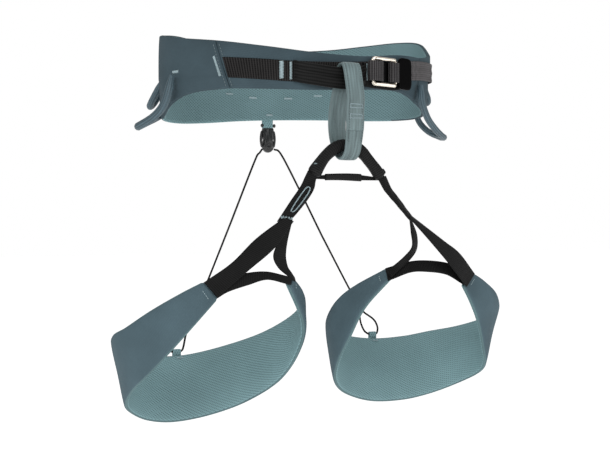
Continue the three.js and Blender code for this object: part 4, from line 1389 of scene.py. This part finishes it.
def build_stage():
    """Plain pale floor, a white surround, soft studio lights and the camera in front of the right hip."""
    scene = bpy.context.scene
    scene.view_settings.view_transform = "Standard"
    world = bpy.data.worlds.new("studio_surround")
    scene.world = world
    world.use_nodes = True
    tree = world.node_tree
    tree.nodes["Background"].inputs[0].default_value = (1, 1, 1, 1)
    tree.nodes["Background"].inputs[1].default_value = 0.5
    white = add(tree, "ShaderNodeBackground", {0: (1, 1, 1, 1), 1: 1.0})
    seen = add(tree, "ShaderNodeLightPath").outputs["Is Camera Ray"]
    mixed = add(
        tree, "ShaderNodeMixShader", {0: seen, 1: tree.nodes["Background"].outputs[0], 2: white.outputs[0]}
    )
    tree.links.new(mixed.outputs[0], tree.nodes["World Output"].inputs[0])

    floor_material, _, _ = new_material("matt_white_floor", (0.93, 0.93, 0.93), 0.9, Emission_Strength=0.6)
    size, depth = 30000.0, -1100.0
    corners = np.array(
        [[-size, -size, depth], [size, -size, depth], [size, size, depth], [-size, size, depth]]
    )
    floor = to_object(
        "studio_floor", corners, [0, 1, 2, 3], [0], [4], np.zeros((4, 2)), floor_material, False
    )

    def area(name, place, aim, size_m, watts):
        lamp = bpy.data.lights.new(name, "AREA")
        lamp.shape, lamp.size, lamp.energy = "DISK", size_m, watts
        made = bpy.data.objects.new(name, lamp)
        scene.collection.objects.link(made)
        made.location = place
        direction = np.asarray(aim, float) - place
        made.rotation_euler = direction_to_euler(direction)

    area("key_softbox", (-1.9, -2.2, 1.0), (0, 0, -0.25), 1.6, 36)
    area("fill_softbox", (1.8, -2.2, 0.2), (0, 0, -0.3), 2.0, 14)
    area("top_softbox", (0.2, 0.6, 2.4), (0, 0, -0.15), 2.2, 14)

    camera_data = bpy.data.cameras.new("camera")
    camera = bpy.data.objects.new("camera", camera_data)
    scene.collection.objects.link(camera)
    azimuth = math.radians(-24)
    target, distance = (0.004, 0.0, -0.165), 1.15
    camera.location = (
        target[0] + distance * math.sin(azimuth), target[1] - distance * math.cos(azimuth), target[2],
    )
    camera.rotation_euler = (math.radians(90), 0, azimuth)
    camera_data.sensor_width = 36.0
    camera_data.lens = 61.7
    scene.camera = camera


def direction_to_euler(direction):
    """Rotation that turns a lamp's -Z axis along a direction."""
    x, y, z = unit(np.asarray(direction, float))
    return (math.acos(-z), 0.0, math.atan2(-x, y))


# ---- Add-on ------------------------------------------------------------------------------------

def operator(label, word, doc, *steps):
    """An operator class that runs its building steps in order."""

    def execute(self, context):
        for step in steps:
            step()
        return {"FINISHED"}

    name = "HARNESS_OT_" + word
    return type(name, (bpy.types.Operator,), {
        "__doc__": doc, "bl_idname": "harness." + word, "bl_label": label, "execute": execute,
    })


OPERATORS = [
    operator("Stage", "stage", "Adds the floor, lights and camera", build_stage),
    operator("Rear suspension", "rear", "Builds the clip, cords, knots and tabs", build_rear),
    operator("Belt", "belt", "Builds the padded waist belt", build_belt),
    operator("Waist webbing", "webbing", "Builds the waist webbing, tie-in loop and tail",
    build_waist_webbing),
    operator("Buckle", "buckle", "Builds the waist buckle", build_buckle),
    operator("Gear loops", "gear", "Builds the four gear loops", build_gear_loops),
    operator("Belay loop", "belay", "Builds the belay loop", build_belay_loop),
    operator("Leg bridge", "bridge", "Builds the leg bridge, cross strap and risers", build_leg_bridge),
    operator("Leg straps", "straps", "Builds the leg loop webbing", build_leg_straps),
    operator("Leg pads", "pads", "Builds the padded leg loops", build_leg_pads),
    operator("Sewing", "sewing", "Sews the seams and bartacks", build_sewing),
]


class HARNESS_PT_panel(bpy.types.Panel):
    """Lists the building steps with the colours and sizes they use."""

    bl_label = "Climbing Harness"
    bl_idname = "HARNESS_PT_panel"
    bl_space_type = "VIEW_3D"
    bl_region_type = "UI"
    bl_category = "Harness"

    def draw(self, context):
        for group in (context.scene.harness_colours, context.scene.harness_sizes):
            for key in group.__annotations__:
                self.layout.prop(group, key)
        for made in OPERATORS:
            self.layout.operator(made.bl_idname)


CLASSES = [HarnessColours, HarnessSizes, *OPERATORS, HARNESS_PT_panel]


def register():
    """Registers the classes and hangs the property groups on the scene."""
    for made in CLASSES:
        bpy.utils.register_class(made)
    bpy.types.Scene.harness_colours = bpy.props.PointerProperty(type=HarnessColours)
    bpy.types.Scene.harness_sizes = bpy.props.PointerProperty(type=HarnessSizes)


def unregister():
    """Removes what register added."""
    del bpy.types.Scene.harness_sizes
    del bpy.types.Scene.harness_colours
    for made in reversed(CLASSES):
        bpy.utils.unregister_class(made)


def main():
    """Builds the harness and writes the CAD box and the visual box."""
    register()
    for made in OPERATORS:
        getattr(bpy.ops.harness, made.bl_idname.split(".")[1])()


if __name__ == "__main__":
    main()
